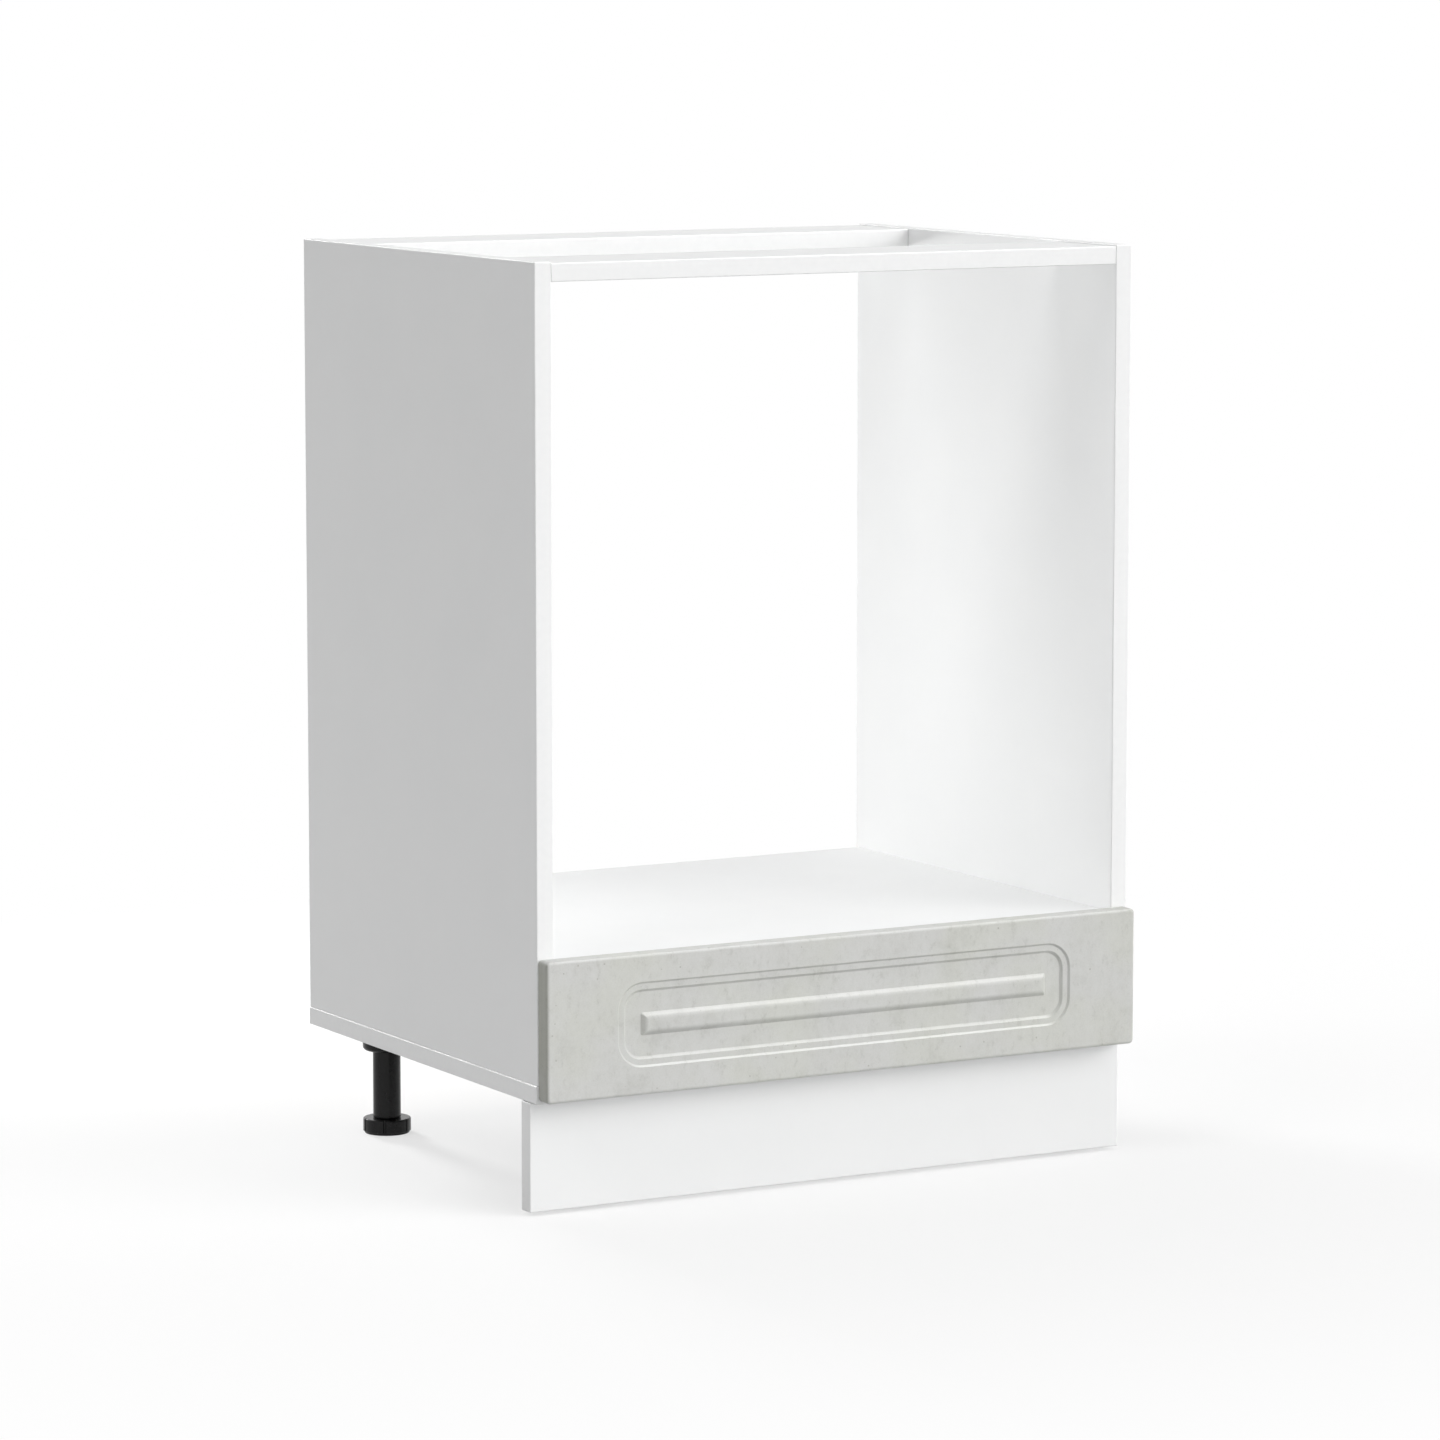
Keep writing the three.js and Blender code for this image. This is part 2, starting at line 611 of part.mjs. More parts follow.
function drawerRunnerGeometry(sign) {
  const sheet = runnerSheet;
  const web = slideSpace - boardGap - sheet;
  const track = web - webSpace + drawerTrackGap;
  const low = supportTop - sheet - runnerBottom;
  const high = trackUnderside - runnerBottom;
  const profile = profileSheet([
    [web, low], [web + sheet + supportWidth, low], [web + sheet + supportWidth, low + sheet],
    [web + sheet, low + sheet], [web + sheet, high + sheet], [track, high + sheet], [track, high],
    [web, high],
  ], sign);
  const axis = rollerAxisHeight - runnerBottom;
  const headAt = web - rollerSideGap - rollerWidth - rollerClearance;
  const at = runnerLength - rollerSetback;
  const pin = bar(rivetDiameter, point(-sign * (web + sheet / 2), at, axis),
    point(-sign * (headAt - rivetHeadHeight / 2), at, axis), roundSides);
  const head = bar(rivetHeadDiameter, point(-sign * headAt, at, axis),
    point(-sign * (headAt - rivetHeadHeight), at, axis), roundSides);
  return join(profile, pin, head);
}

// A nylon roller with chamfered rims, turning on the rivet along X.
function rollerGeometry() {
  const half = rollerWidth / 2;
  const bore = rivetDiameter / 2 + rollerBoreGap;
  const rim = rollerDiameter / 2;
  return turned([
    [bore, -half], [rim - rollerChamfer, -half], [rim, rollerChamfer - half], [rim, half - rollerChamfer],
    [rim - rollerChamfer, half], [bore, half], [bore, -half],
  ], point(1, 0, 0), rollerSides);
}

function addRunners() {
  for (const { hand, sign } of hands) {
    const wall = sign * (halfInside - boardGap);
    const cabinetStart = runnerFrontSetback;
    const drawerStart = frontBack + boardGap;
    addPiece(`cabinet_runner_${hand}`, cabinetRunnerGeometry(sign), whiteSteel,
      point(wall, cabinetStart, runnerBottom));
    addPiece(`drawer_runner_${hand}`, drawerRunnerGeometry(sign), whiteSteel,
      point(wall + sign * boardGap, drawerStart, runnerBottom));
    const cabinetRoller = runnerSheet + rollerSideGap + rollerWidth / 2;
    const drawerRoller = slideSpace - boardGap - cabinetRoller;
    addPiece(`cabinet_roller_${hand}`, rollerGeometry(), nylon,
      point(wall - sign * cabinetRoller, cabinetStart + rollerSetback, rollerAxisHeight));
    addPiece(`drawer_roller_${hand}`, rollerGeometry(), nylon,
      point(wall + sign * (boardGap - drawerRoller), drawerStart + runnerLength - rollerSetback,
        rollerAxisHeight));
  }
}

addCarcass();
addCamFittings();
addCarcassScrews();
addLegs();
addPlinth();
addDrawerBox();
addRunners();

// Origin under the middle of the unit, between the face of the front and the back of the carcass.
unit.position.y = (frontGap + frontThickness - carcassDepth) / 2;

export default unit;
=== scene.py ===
import math

import bmesh
import bpy
from mathutils import Matrix, Vector


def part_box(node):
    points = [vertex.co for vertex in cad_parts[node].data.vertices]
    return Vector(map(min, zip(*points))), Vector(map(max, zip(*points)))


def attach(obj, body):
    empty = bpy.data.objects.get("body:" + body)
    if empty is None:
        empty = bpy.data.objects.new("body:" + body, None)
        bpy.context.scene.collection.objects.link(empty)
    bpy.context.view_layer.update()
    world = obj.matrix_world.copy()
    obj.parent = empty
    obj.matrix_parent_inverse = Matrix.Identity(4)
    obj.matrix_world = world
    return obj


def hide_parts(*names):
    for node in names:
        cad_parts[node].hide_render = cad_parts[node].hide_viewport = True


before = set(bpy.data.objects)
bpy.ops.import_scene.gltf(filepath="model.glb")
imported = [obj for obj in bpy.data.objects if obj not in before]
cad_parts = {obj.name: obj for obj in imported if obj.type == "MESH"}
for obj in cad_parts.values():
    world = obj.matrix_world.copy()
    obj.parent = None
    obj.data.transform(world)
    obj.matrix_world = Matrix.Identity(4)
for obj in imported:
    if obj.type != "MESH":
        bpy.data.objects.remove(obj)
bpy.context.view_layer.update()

# ---- Side panels -------------------------------------------------------------------------------
# Chipboard, 16 mm, pressed between two sheets of white melamine. The edges that show carry a thin
# white band, glued on and trimmed; the back edges, which stand at the wall, are left as sawn.

# Lengths are in metres, here and below, and left and right are as seen from the front.
SIDES = {"left": -1, "right": 1}
ENDS = ("front", "rear")
CAM_PLACES = ("front_rail", "rear_rail", "shelf_front", "shelf_rear")
BAND_THICKNESS = 0.0014
BAND_ARRIS = 0.0011
SAWN_ARRIS = 0.0003
BORE_SPARE = 0.00025
SIDE_SCREW_PILOT = 0.0034
SHARP_DEGREES = 30
UNTINTED = (1.0, 1.0, 1.0)
OUTWARD = {
    "left": Vector((-1, 0, 0)),
    "right": Vector((1, 0, 0)),
    "front": Vector((0, -1, 0)),
    "back": Vector((0, 1, 0)),
    "bottom": Vector((0, 0, -1)),
    "top": Vector((0, 0, 1)),
}


def add(tree, kind, inputs, **settings):
    """A shader node whose inputs are values or the sockets that feed them."""
    made = tree.nodes.new("ShaderNode" + kind)
    for setting, value in settings.items():
        setattr(made, setting, value)
    for socket, value in inputs.items():
        if isinstance(value, bpy.types.NodeSocket):
            tree.links.new(value, made.inputs[socket])
        else:
            made.inputs[socket].default_value = value
    return made


def new_finish(name, roughness, metallic=0.0):
    """A material with its node tree and its shader."""
    finish = bpy.data.materials.new(name)
    finish.use_nodes = True
    shader = finish.node_tree.nodes["Principled BSDF"]
    shader.inputs["Roughness"].default_value = roughness
    shader.inputs["Metallic"].default_value = metallic
    return finish, finish.node_tree, shader


def own_place(tree):
    """Where a point lies in the piece's own coordinates."""
    return add(tree, "TexCoord", {}).outputs["Object"]


def place(tree, size, stretch=(1, 1, 1)):
    """The piece's own coordinates, counted in steps of `size` metres."""
    steps = [1 / (size * along) for along in stretch]
    return add(tree, "Mapping", {"Vector": own_place(tree), "Scale": steps}).outputs["Vector"]


def mottle(tree, size, detail=2.0, roughness=0.5, stretch=(1, 1, 1)):
    """Soft irregular patches of about `size` metres, from 0 to 1."""
    inputs = {"Vector": place(tree, size, stretch), "Scale": 1.0, "Detail": detail,
              "Roughness": roughness}
    return add(tree, "TexNoise", inputs).outputs[0]


def cells(tree, size):
    """A node of irregular cells about `size` metres wide, each with a tone of its own."""
    return add(tree, "TexVoronoi", {"Vector": place(tree, size), "Scale": 1.0, "Randomness": 1.0})


def cell_tone(tree, cell_node):
    """One value from 0 to 1 for each whole cell."""
    return add(tree, "RGBToBW", {"Color": cell_node.outputs["Color"]}).outputs["Val"]


def shades(tree, amount, *stops):
    """Colours along `amount`; each stop is (position, colour)."""
    ramp = add(tree, "ValToRGB", {"Fac": amount})
    while len(ramp.color_ramp.elements) < len(stops):
        ramp.color_ramp.elements.new(0.5)
    for element, (position, colour) in zip(ramp.color_ramp.elements, stops):
        element.position = position
        element.color = (*colour, 1.0)
    return ramp.outputs["Color"]


def tinted(tree, below, above):
    """Two colours multiplied."""
    inputs = {"Factor": 1.0, "A": below, "B": above}
    return add(tree, "Mix", inputs, data_type="RGBA", blend_type="MULTIPLY").outputs["Result"]


def span(tree, amount, low, high, start=0.0, end=1.0, **settings):
    """`amount`, from start to end, turned into a value from low to high."""
    inputs = {"Value": amount, "From Min": start, "From Max": end, "To Min": low, "To Max": high}
    return add(tree, "MapRange", inputs, **settings).outputs["Result"]


def emboss(tree, shader, *layers):
    """Fine relief; each layer is (height from 0 to 1, its depth in metres)."""
    normal = None
    for height, depth in layers:
        inputs = {"Height": height, "Distance": depth}
        if normal:
            inputs["Normal"] = normal
        normal = add(tree, "Bump", inputs).outputs["Normal"]
    tree.links.new(normal, shader.inputs["Normal"])


def make_melamine():
    finish, tree, shader = new_finish("white_melamine", 0.42)
    shader.inputs["Specular IOR Level"].default_value = 0.7
    cloud = shades(tree, mottle(tree, 0.09, 3),
                   (0.3, (0.872, 0.878, 0.878)), (0.7, (0.888, 0.892, 0.890)))
    tree.links.new(cloud, shader.inputs["Base Color"])
    tree.links.new(span(tree, mottle(tree, 0.02, 3), 0.36, 0.48), shader.inputs["Roughness"])
    emboss(tree, shader, (mottle(tree, 0.0012, 2), 0.000012), (mottle(tree, 0.0005, 1), 0.000006))
    return finish


def make_edge_band():
    finish, tree, shader = new_finish("white_edge_band", 0.34)
    streak = shades(tree, mottle(tree, 0.006, 2),
                    (0.35, (0.892, 0.896, 0.896)), (0.65, (0.906, 0.909, 0.908)))
    tree.links.new(streak, shader.inputs["Base Color"])
    tree.links.new(span(tree, mottle(tree, 0.004, 2), 0.3, 0.38), shader.inputs["Roughness"])
    emboss(tree, shader, (mottle(tree, 0.0008, 2), 0.000006))
    return finish


def make_sawn_chipboard():
    finish, tree, shader = new_finish("sawn_chipboard", 0.85)
    chips = cells(tree, 0.0022)
    wood = shades(tree, cell_tone(tree, chips), (0.15, (0.25, 0.16, 0.09)),
                  (0.5, (0.46, 0.33, 0.20)), (0.85, (0.66, 0.52, 0.35)))
    fibre = shades(tree, mottle(tree, 0.0006, 3), (0.3, (0.72, 0.72, 0.72)), (0.7, UNTINTED))
    tree.links.new(tinted(tree, wood, fibre), shader.inputs["Base Color"])
    emboss(tree, shader, (chips.outputs["Distance"], 0.00018), (mottle(tree, 0.0007, 2), 0.00006))
    return finish


MELAMINE = make_melamine()
EDGE_BAND = make_edge_band()
SAWN_CHIPBOARD = make_sawn_chipboard()
BOARD_FINISHES = (MELAMINE, EDGE_BAND, SAWN_CHIPBOARD)


def link_piece(name, mesh, body, nodes, at=(0, 0, 0), turned=(0, 0, 0)):
    """Puts a mesh into the scene as a piece that rides on a body and stands for CAD nodes."""
    piece = bpy.data.objects.new(name, mesh)
    bpy.context.scene.collection.objects.link(piece)
    piece.location = at
    piece.rotation_euler = turned
    even = piece.modifiers.new("even_normals", "WEIGHTED_NORMAL")
    even.keep_sharp = True
    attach(piece, body)
    if nodes:
        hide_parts(*nodes)


def make_mesh(name, shape, finishes, sharp_degrees=SHARP_DEGREES):
    """A smooth-shaded mesh of a bmesh, which is used up; folds over `sharp_degrees` stay sharp."""
    bmesh.ops.recalc_face_normals(shape, faces=shape.faces[:])
    mesh = bpy.data.meshes.new(name)
    shape.to_mesh(mesh)
    shape.free()
    for finish in finishes:
        mesh.materials.append(finish)
    mesh.polygons.foreach_set("use_smooth", [True] * len(mesh.polygons))
    mesh.set_sharp_from_angle(angle=math.radians(sharp_degrees))
    return mesh


def block(low, high):
    """A plain block between two corners, as a bmesh."""
    shape = bmesh.new()
    size = Matrix.Diagonal((*(high - low), 1))
    bmesh.ops.create_cube(shape, size=1.0, matrix=Matrix.Translation((low + high) / 2) @ size)
    return shape


def rod(start, end, radius, sides=40):
    """A round bar between two points, as a bmesh."""
    along = end - start
    turn = along.to_track_quat("Z", "Y").to_matrix().to_4x4()
    shape = bmesh.new()
    bmesh.ops.create_cone(shape, cap_ends=True, segments=sides, radius1=radius, radius2=radius,
                          depth=along.length, matrix=Matrix.Translation((start + end) / 2) @ turn)
    return shape


def upright_rod(axis, bottom, top, radius, sides=40):
    """A round bar that stands on the point `axis`, between two heights."""
    return rod(Vector((axis.x, axis.y, bottom)), Vector((axis.x, axis.y, top)), radius, sides)


def cut_away(mesh, cutters, cut_slot=0):
    """A copy of the mesh with each cutter's bmesh taken out; the cut shows finish `cut_slot`."""
    stock = bpy.data.objects.new("stock", mesh)
    bpy.context.scene.collection.objects.link(stock)
    tools = []
    for cutter in cutters:
        for face in cutter.faces:
            face.material_index = cut_slot
        tool = bpy.data.objects.new("tool", make_mesh("tool", cutter, mesh.materials))
        bpy.context.scene.collection.objects.link(tool)
        tools.append(tool)
        cut = stock.modifiers.new("cut", "BOOLEAN")
        cut.operation = "DIFFERENCE"
        cut.solver = "EXACT"
        cut.object = tool
    graph = bpy.context.evaluated_depsgraph_get()
    result = bpy.data.meshes.new_from_object(stock.evaluated_get(graph))
    result.name = mesh.name
    for spent in [stock, *tools]:
        bpy.data.objects.remove(spent)
    result.set_sharp_from_angle(angle=math.radians(SHARP_DEGREES))
    return result


def faces_on(shape, edge_name):
    """The faces of a board that look out from the edge of that name."""
    return [face for face in shape.faces if face.normal.dot(OUTWARD[edge_name]) > 0.9]


def make_board(name, node, body, banded, raw=(), bores=(),
               finishes=BOARD_FINISHES):
    """A board in the CAD node's own box, with eased arrises. `banded` and `raw` name the edges that
    carry a band or show the bare board; bores are cut last and show it too."""
    low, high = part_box(node)
    shape = block(low, high)
    shape.normal_update()
    banded_faces = [face for edge_name in banded for face in faces_on(shape, edge_name)]
    trimmed = [line for line in shape.edges
               if any(face in banded_faces for face in line.link_faces)]
    bmesh.ops.bevel(shape, geom=trimmed, offset=BAND_ARRIS, segments=4, profile=0.5,
                    affect="EDGES")
    sawn = [line for line in shape.edges if line.calc_face_angle(0) > math.radians(60)]
    bmesh.ops.bevel(shape, geom=sawn, offset=SAWN_ARRIS, segments=1, profile=0.5, affect="EDGES")
    for edge_name in banded:
        outward = OUTWARD[edge_name]
        face_point = high if sum(outward) > 0 else low
        seam = face_point - outward * BAND_THICKNESS
        everything = shape.verts[:] + shape.edges[:] + shape.faces[:]
        bmesh.ops.bisect_plane(shape, geom=everything, plane_co=seam, plane_no=outward)
        for face in shape.faces:
            if (face.calc_center_median() - seam).dot(outward) > 0:
                face.material_index = 1
    shape.normal_update()
    for edge_name in raw:
        for face in faces_on(shape, edge_name):
            face.material_index = 2
    mesh = make_mesh(name, shape, finishes)
    if bores:
        mesh = cut_away(mesh, bores, cut_slot=2)
    link_piece(name, mesh, body, [node])


def cam_bolt_bore(cam_place, side):
    """The hole along a connecting bolt, as wide as its thickest stretch and a little more."""
    low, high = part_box(f"cam_bolt_{cam_place}_{side}")
    middle = (low + high) / 2
    reach = Vector(((high.x - low.x) / 2 + BORE_SPARE, 0, 0))
    return rod(middle - reach, middle + reach, (high.z - low.z) / 2 + BORE_SPARE)


for side in SIDES:
    side_bores = [cam_bolt_bore(cam_place, side) for cam_place in CAM_PLACES]
    for end in ENDS:
        low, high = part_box(f"side_screw_{end}_{side}")
        side_bores.append(upright_rod((low + high) / 2, low.z, high.z + BORE_SPARE,
                                      SIDE_SCREW_PILOT))
    make_board(f"side_panel_{side}", f"{side}_side", "carcass", ("front", "top"), ("back",),
               side_bores)

# ---- Bottom panel ------------------------------------------------------------------------------
# The same board, laid under the two side panels and a millimetre wider on each side. Four long
# screws come up through it into the side panels, and the pegs of the legs are knocked into it.

LEG_PLACES = ("front_left", "front_right", "rear_left", "rear_right")
PEG_RADIUS = 0.005
SIDE_SCREW_CLEARANCE = 0.0036
SCREW_HEAD_SINK = 0.0038
CUT_OVERRUN = 0.001

panel_low, panel_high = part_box("bottom_panel")
below_panel = panel_low.z - CUT_OVERRUN
bottom_bores = []
for leg_place in LEG_PLACES:
    low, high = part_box(f"leg_socket_{leg_place}")
    bottom_bores.append(upright_rod((low + high) / 2, below_panel, high.z + BORE_SPARE,
                                    PEG_RADIUS + BORE_SPARE))
for side in SIDES:
    for end in ENDS:
        low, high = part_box(f"side_screw_{end}_{side}")
        axis = (low + high) / 2
        bottom_bores.append(upright_rod(axis, below_panel, panel_high.z + CUT_OVERRUN,
                                        SIDE_SCREW_CLEARANCE))
        bottom_bores.append(upright_rod(axis, below_panel, panel_low.z + SCREW_HEAD_SINK,
                                        (high.x - low.x) / 2 + BORE_SPARE))
make_board("bottom_board", "bottom_panel", "carcass", ("front", "left", "right"), ("back",),
           bottom_bores)

# ---- Shelf and rails ---------------------------------------------------------------------------
# The shelf carries the oven and the two rails tie the top, all of the same board. A bolt in the
# side panel enters each end, and a zinc cam in a pocket in the board's lower face draws it tight.

POCKET_OVERRUN = 0.002
CAM_RIM = 0.0005
CAM_RING_INSET = 0.001
CAM_RING_WIDTH = 0.001
CAM_RING_DEPTH = 0.0002
CAM_SLOT_LENGTH = 0.009
CAM_SLOT_WIDTH = 0.0018
CAM_SLOT_DEPTH = 0.0016
CAM_MOUTH_RADIUS = 0.0035
CAM_MOUTH_DEPTH = 0.003
CAM_MOUTH_REACH = 0.01


def cam_pocket(cam_place, side):
    """The round pocket for a cam, open below."""
    low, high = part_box(f"cam_{cam_place}_{side}")
    return upright_rod((low + high) / 2, low.z - POCKET_OVERRUN, high.z + BORE_SPARE,
                       (high.x - low.x) / 2 + BORE_SPARE)


def joint_bores(*cam_places):
    """The bolt's bore and the cam's pocket at both ends of a board."""
    return [bore for cam_place in cam_places for side in SIDES
            for bore in (cam_bolt_bore(cam_place, side), cam_pocket(cam_place, side))]


make_board("shelf_board", "oven_shelf", "carcass", ("front",), ("back",),
           joint_bores("shelf_front", "shelf_rear"))
make_board("front_rail_board", "front_rail", "carcass", ("front", "back"), (),
           joint_bores("front_rail"))
make_board("rear_rail_board", "rear_rail", "carcass", ("front",), ("back",),
           joint_bores("rear_rail"))


def turn_profile(profile, sides=56):
    """A shape turned about Z from (radius, height) points, as a bmesh."""
    shape = bmesh.new()
    rings = []
    for step in range(sides):
        angle = math.tau * step / sides
        rings.append([shape.verts.new((radius * math.cos(angle), radius * math.sin(angle), height))
                      for radius, height in profile])
    for ring, following in zip(rings, rings[1:] + rings[:1]):
        for index in range(len(profile) - 1):
            corners = [ring[index], following[index], following[index + 1], ring[index + 1]]
            shape.faces.new(corners)
    bmesh.ops.remove_doubles(shape, verts=shape.verts[:], dist=1e-7)
    return shape


def cross_slot(length, width, low, high):
    """The two crossing slots that a screwdriver fits, between two heights."""
    far, near = length / 2, width / 2
    return [block(Vector((-far, -near, low)), Vector((far, near, high))),
            block(Vector((-near, -far, low)), Vector((near, far, high)))]


def make_zinc():
    finish, tree, shader = new_finish("bright_zinc", 0.32, metallic=1.0)
    tone = shades(tree, mottle(tree, 0.0015, 4), (0.3, (0.50, 0.51, 0.53)),
                  (0.7, (0.68, 0.69, 0.70)))
    tree.links.new(tone, shader.inputs["Base Color"])
    tree.links.new(span(tree, mottle(tree, 0.0007, 3), 0.31, 0.43), shader.inputs["Roughness"])
    emboss(tree, shader, (mottle(tree, 0.0004, 2), 0.00001))
    return finish


ZINC = make_zinc()

low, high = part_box("cam_shelf_front_left")
cam_radius, cam_height = (high.x - low.x) / 2, high.z - low.z
ring_outside = cam_radius - CAM_RING_INSET
ring_inside = ring_outside - CAM_RING_WIDTH
cam_turning = turn_profile([
    (0, 0), (ring_inside, 0), (ring_inside + CAM_RING_DEPTH, CAM_RING_DEPTH),
    (ring_outside - CAM_RING_DEPTH, CAM_RING_DEPTH), (ring_outside, 0),
    (cam_radius - CAM_RIM, 0), (cam_radius, CAM_RIM),
    (cam_radius, cam_height - CAM_RIM), (cam_radius - CAM_RIM, cam_height), (0, cam_height),
])
cam_mesh = cut_away(make_mesh("cam", cam_turning, [ZINC]),
                    cross_slot(CAM_SLOT_LENGTH, CAM_SLOT_WIDTH, -CUT_OVERRUN, CAM_SLOT_DEPTH))
bolt_low, bolt_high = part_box("cam_bolt_shelf_front_left")
bolt_height = (bolt_low.z + bolt_high.z) / 2 - low.z
for side, sign in SIDES.items():
    mouth = rod(Vector((-sign * CAM_MOUTH_DEPTH, 0, bolt_height)),
                Vector((sign * CAM_MOUTH_REACH, 0, bolt_height)), CAM_MOUTH_RADIUS)
    drum_mesh = cut_away(cam_mesh, [mouth])
    for cam_place in CAM_PLACES:
        low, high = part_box(f"cam_{cam_place}_{side}")
        link_piece(f"cam_drum_{cam_place}_{side}", drum_mesh, "carcass",
                   [f"cam_{cam_place}_{side}"],
                   at=((low.x + high.x) / 2, (low.y + high.y) / 2, low.z))
        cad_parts[f"cam_bolt_{cam_place}_{side}"].material_slots[0].material = ZINC
    for end in ENDS:
        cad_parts[f"side_screw_{end}_{side}"].material_slots[0].material = ZINC

# ---- Legs --------------------------------------------------------------------------------------
# Black moulded plastic in three pieces: a socket that is pegged to the bottom panel, a tube pressed
# into it, and a foot with a grooved rim whose threaded stem is screwed up into the tube.

SOCKET_PLATE = 0.003
SOCKET_ROUND = 0.004
SOCKET_GAP = 0.0002
SOCKET_MOUTH = 0.0008
SEAM_BOTTOM = 0.003
SEAM_TOP = 0.0018
SEAM_DEPTH = 0.0003
PEG_CHAMFER = 0.001
TUBE_WALL = 0.0043
TUBE_CHAMFER = 0.0004
FOOT_HOLLOW_RADIUS = 0.012
FOOT_HOLLOW_EDGE = 0.013
FOOT_HOLLOW_DEPTH = 0.0006
FOOT_CHAMFER = 0.0004
FOOT_ARRIS = 0.0003
FOOT_LIP = 0.002
FOOT_LIP_INSET = 0.0014
FOOT_ROUND = 0.0014
FOOT_HEIGHT = 0.014
FOOT_GROOVES = 6
GROOVE_RADIUS = 0.0014
GROOVE_TURN = math.radians(58)
STEM_RADIUS = 0.0081
STEM_COLLAR = 0.0015
STEM_ROOT = 0.0008
THREAD_DEPTH = 0.0011
THREAD_PITCH = 0.0035


def make_black_plastic():
    finish, tree, shader = new_finish("black_plastic", 0.22)
    shader.inputs["Specular IOR Level"].default_value = 0.22
    tone = shades(tree, mottle(tree, 0.012, 3), (0.3, (0.005, 0.005, 0.005)),
                  (0.7, (0.008, 0.008, 0.008)))
    tree.links.new(tone, shader.inputs["Base Color"])
    tree.links.new(span(tree, mottle(tree, 0.003, 3), 0.17, 0.27), shader.inputs["Roughness"])
    emboss(tree, shader, (mottle(tree, 0.00035, 2), 0.000006))
    return finish


BLACK_PLASTIC = make_black_plastic()


def arc(centre_radius, centre_height, radius, start, end, steps=8):
    """Points of a round in a turned profile, from `start` to `end` degrees."""
    points = []
    for step in range(steps + 1):
        angle = math.radians(start + (end - start) * step / steps)
        points.append((centre_radius + radius * math.cos(angle),
                       centre_height + radius * math.sin(angle)))
    return points


def threaded_stem(bottom, top, sides=48, rows=8):
    """A stem whose outside is a real thread: each row of corners climbs one pitch in a turn. The
    thread is rounded at its crests and roots."""
    shape = bmesh.new()
    turns = int((top - bottom) / THREAD_PITCH) + 2
    columns = []
    for step in range(sides + 1):
        share = step / sides
        angle = math.tau * share
        column = []
        for row in range(turns * rows + 1):
            height = bottom + THREAD_PITCH * (row / rows - 1 + share)
            wave = abs((row % rows) / rows * 2 - 1)
            radius = STEM_RADIUS - THREAD_DEPTH * min(1.0, max(0.0, 1.5 * wave - 0.25))
            height = min(max(height, bottom), top)
            column.append(shape.verts.new((radius * math.cos(angle), radius * math.sin(angle),
                                           height)))
        columns.append(column)
    for column, following in zip(columns, columns[1:]):
        for row in range(len(column) - 1):
            shape.faces.new([column[row], following[row], following[row + 1], column[row + 1]])
        for end_row in (0, -1):
            middle = shape.verts.new((0, 0, column[end_row].co.z))
            shape.faces.new([column[end_row], following[end_row], middle])
    bmesh.ops.remove_doubles(shape, verts=shape.verts[:], dist=1e-6)
    bmesh.ops.dissolve_degenerate(shape, edges=shape.edges[:], dist=1e-6)
    return shape


low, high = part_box("leg_socket_front_left")
tube_low, tube_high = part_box("leg_tube_front_left")
foot_low, foot_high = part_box("leg_foot_front_left")
tube_radius = (tube_high.x - tube_low.x) / 2
tube_bore = tube_radius - TUBE_WALL
socket_radius = (high.x - low.x) / 2
socket_bore = tube_radius + SOCKET_GAP
socket_top = panel_low.z
foot_radius = (foot_high.x - foot_low.x) / 2
lip_radius = foot_radius - FOOT_LIP_INSET

socket_turning = turn_profile([
    (0, socket_top - SOCKET_PLATE), (socket_bore, socket_top - SOCKET_PLATE),
    (socket_bore, low.z + SOCKET_MOUTH), (socket_bore + SOCKET_MOUTH, low.z),
    *arc(socket_radius - SOCKET_ROUND, low.z + SOCKET_ROUND, SOCKET_ROUND, -90, 0),
    (socket_radius, socket_top - SEAM_BOTTOM),
    (socket_radius - SEAM_DEPTH, socket_top - SEAM_BOTTOM + SEAM_DEPTH),
    (socket_radius - SEAM_DEPTH, socket_top - SEAM_TOP - SEAM_DEPTH),
    (socket_radius, socket_top - SEAM_TOP),
    (socket_radius, socket_top - SOCKET_GAP), (PEG_RADIUS, socket_top - SOCKET_GAP),
    (PEG_RADIUS, high.z - PEG_CHAMFER), (PEG_RADIUS - PEG_CHAMFER, high.z), (0, high.z),
], sides=64)
socket_mesh = make_mesh("leg_socket", socket_turning, [BLACK_PLASTIC])

tube_turning = turn_profile([
    (tube_bore, tube_low.z), (tube_radius - TUBE_CHAMFER, tube_low.z),
    (tube_radius, tube_low.z + TUBE_CHAMFER), (tube_radius, tube_high.z),
    (tube_bore, tube_high.z), (tube_bore, tube_low.z),
], sides=64)
tube_mesh = make_mesh("leg_tube", tube_turning, [BLACK_PLASTIC])

foot_turning = turn_profile([
    (0, FOOT_HOLLOW_DEPTH), (FOOT_HOLLOW_RADIUS, FOOT_HOLLOW_DEPTH), (FOOT_HOLLOW_EDGE, 0),
    (lip_radius - FOOT_CHAMFER, 0), (lip_radius, FOOT_CHAMFER), (lip_radius, FOOT_LIP),
    (foot_radius - FOOT_ARRIS, FOOT_LIP), (foot_radius, FOOT_LIP + FOOT_ARRIS),
    *arc(foot_radius - FOOT_ROUND, FOOT_HEIGHT - FOOT_ROUND, FOOT_ROUND, 0, 90),
    (STEM_RADIUS + STEM_COLLAR, FOOT_HEIGHT), (STEM_RADIUS, FOOT_HEIGHT - FOOT_ARRIS),
    (0, FOOT_HEIGHT - FOOT_ARRIS),
], sides=96)
grooves = []
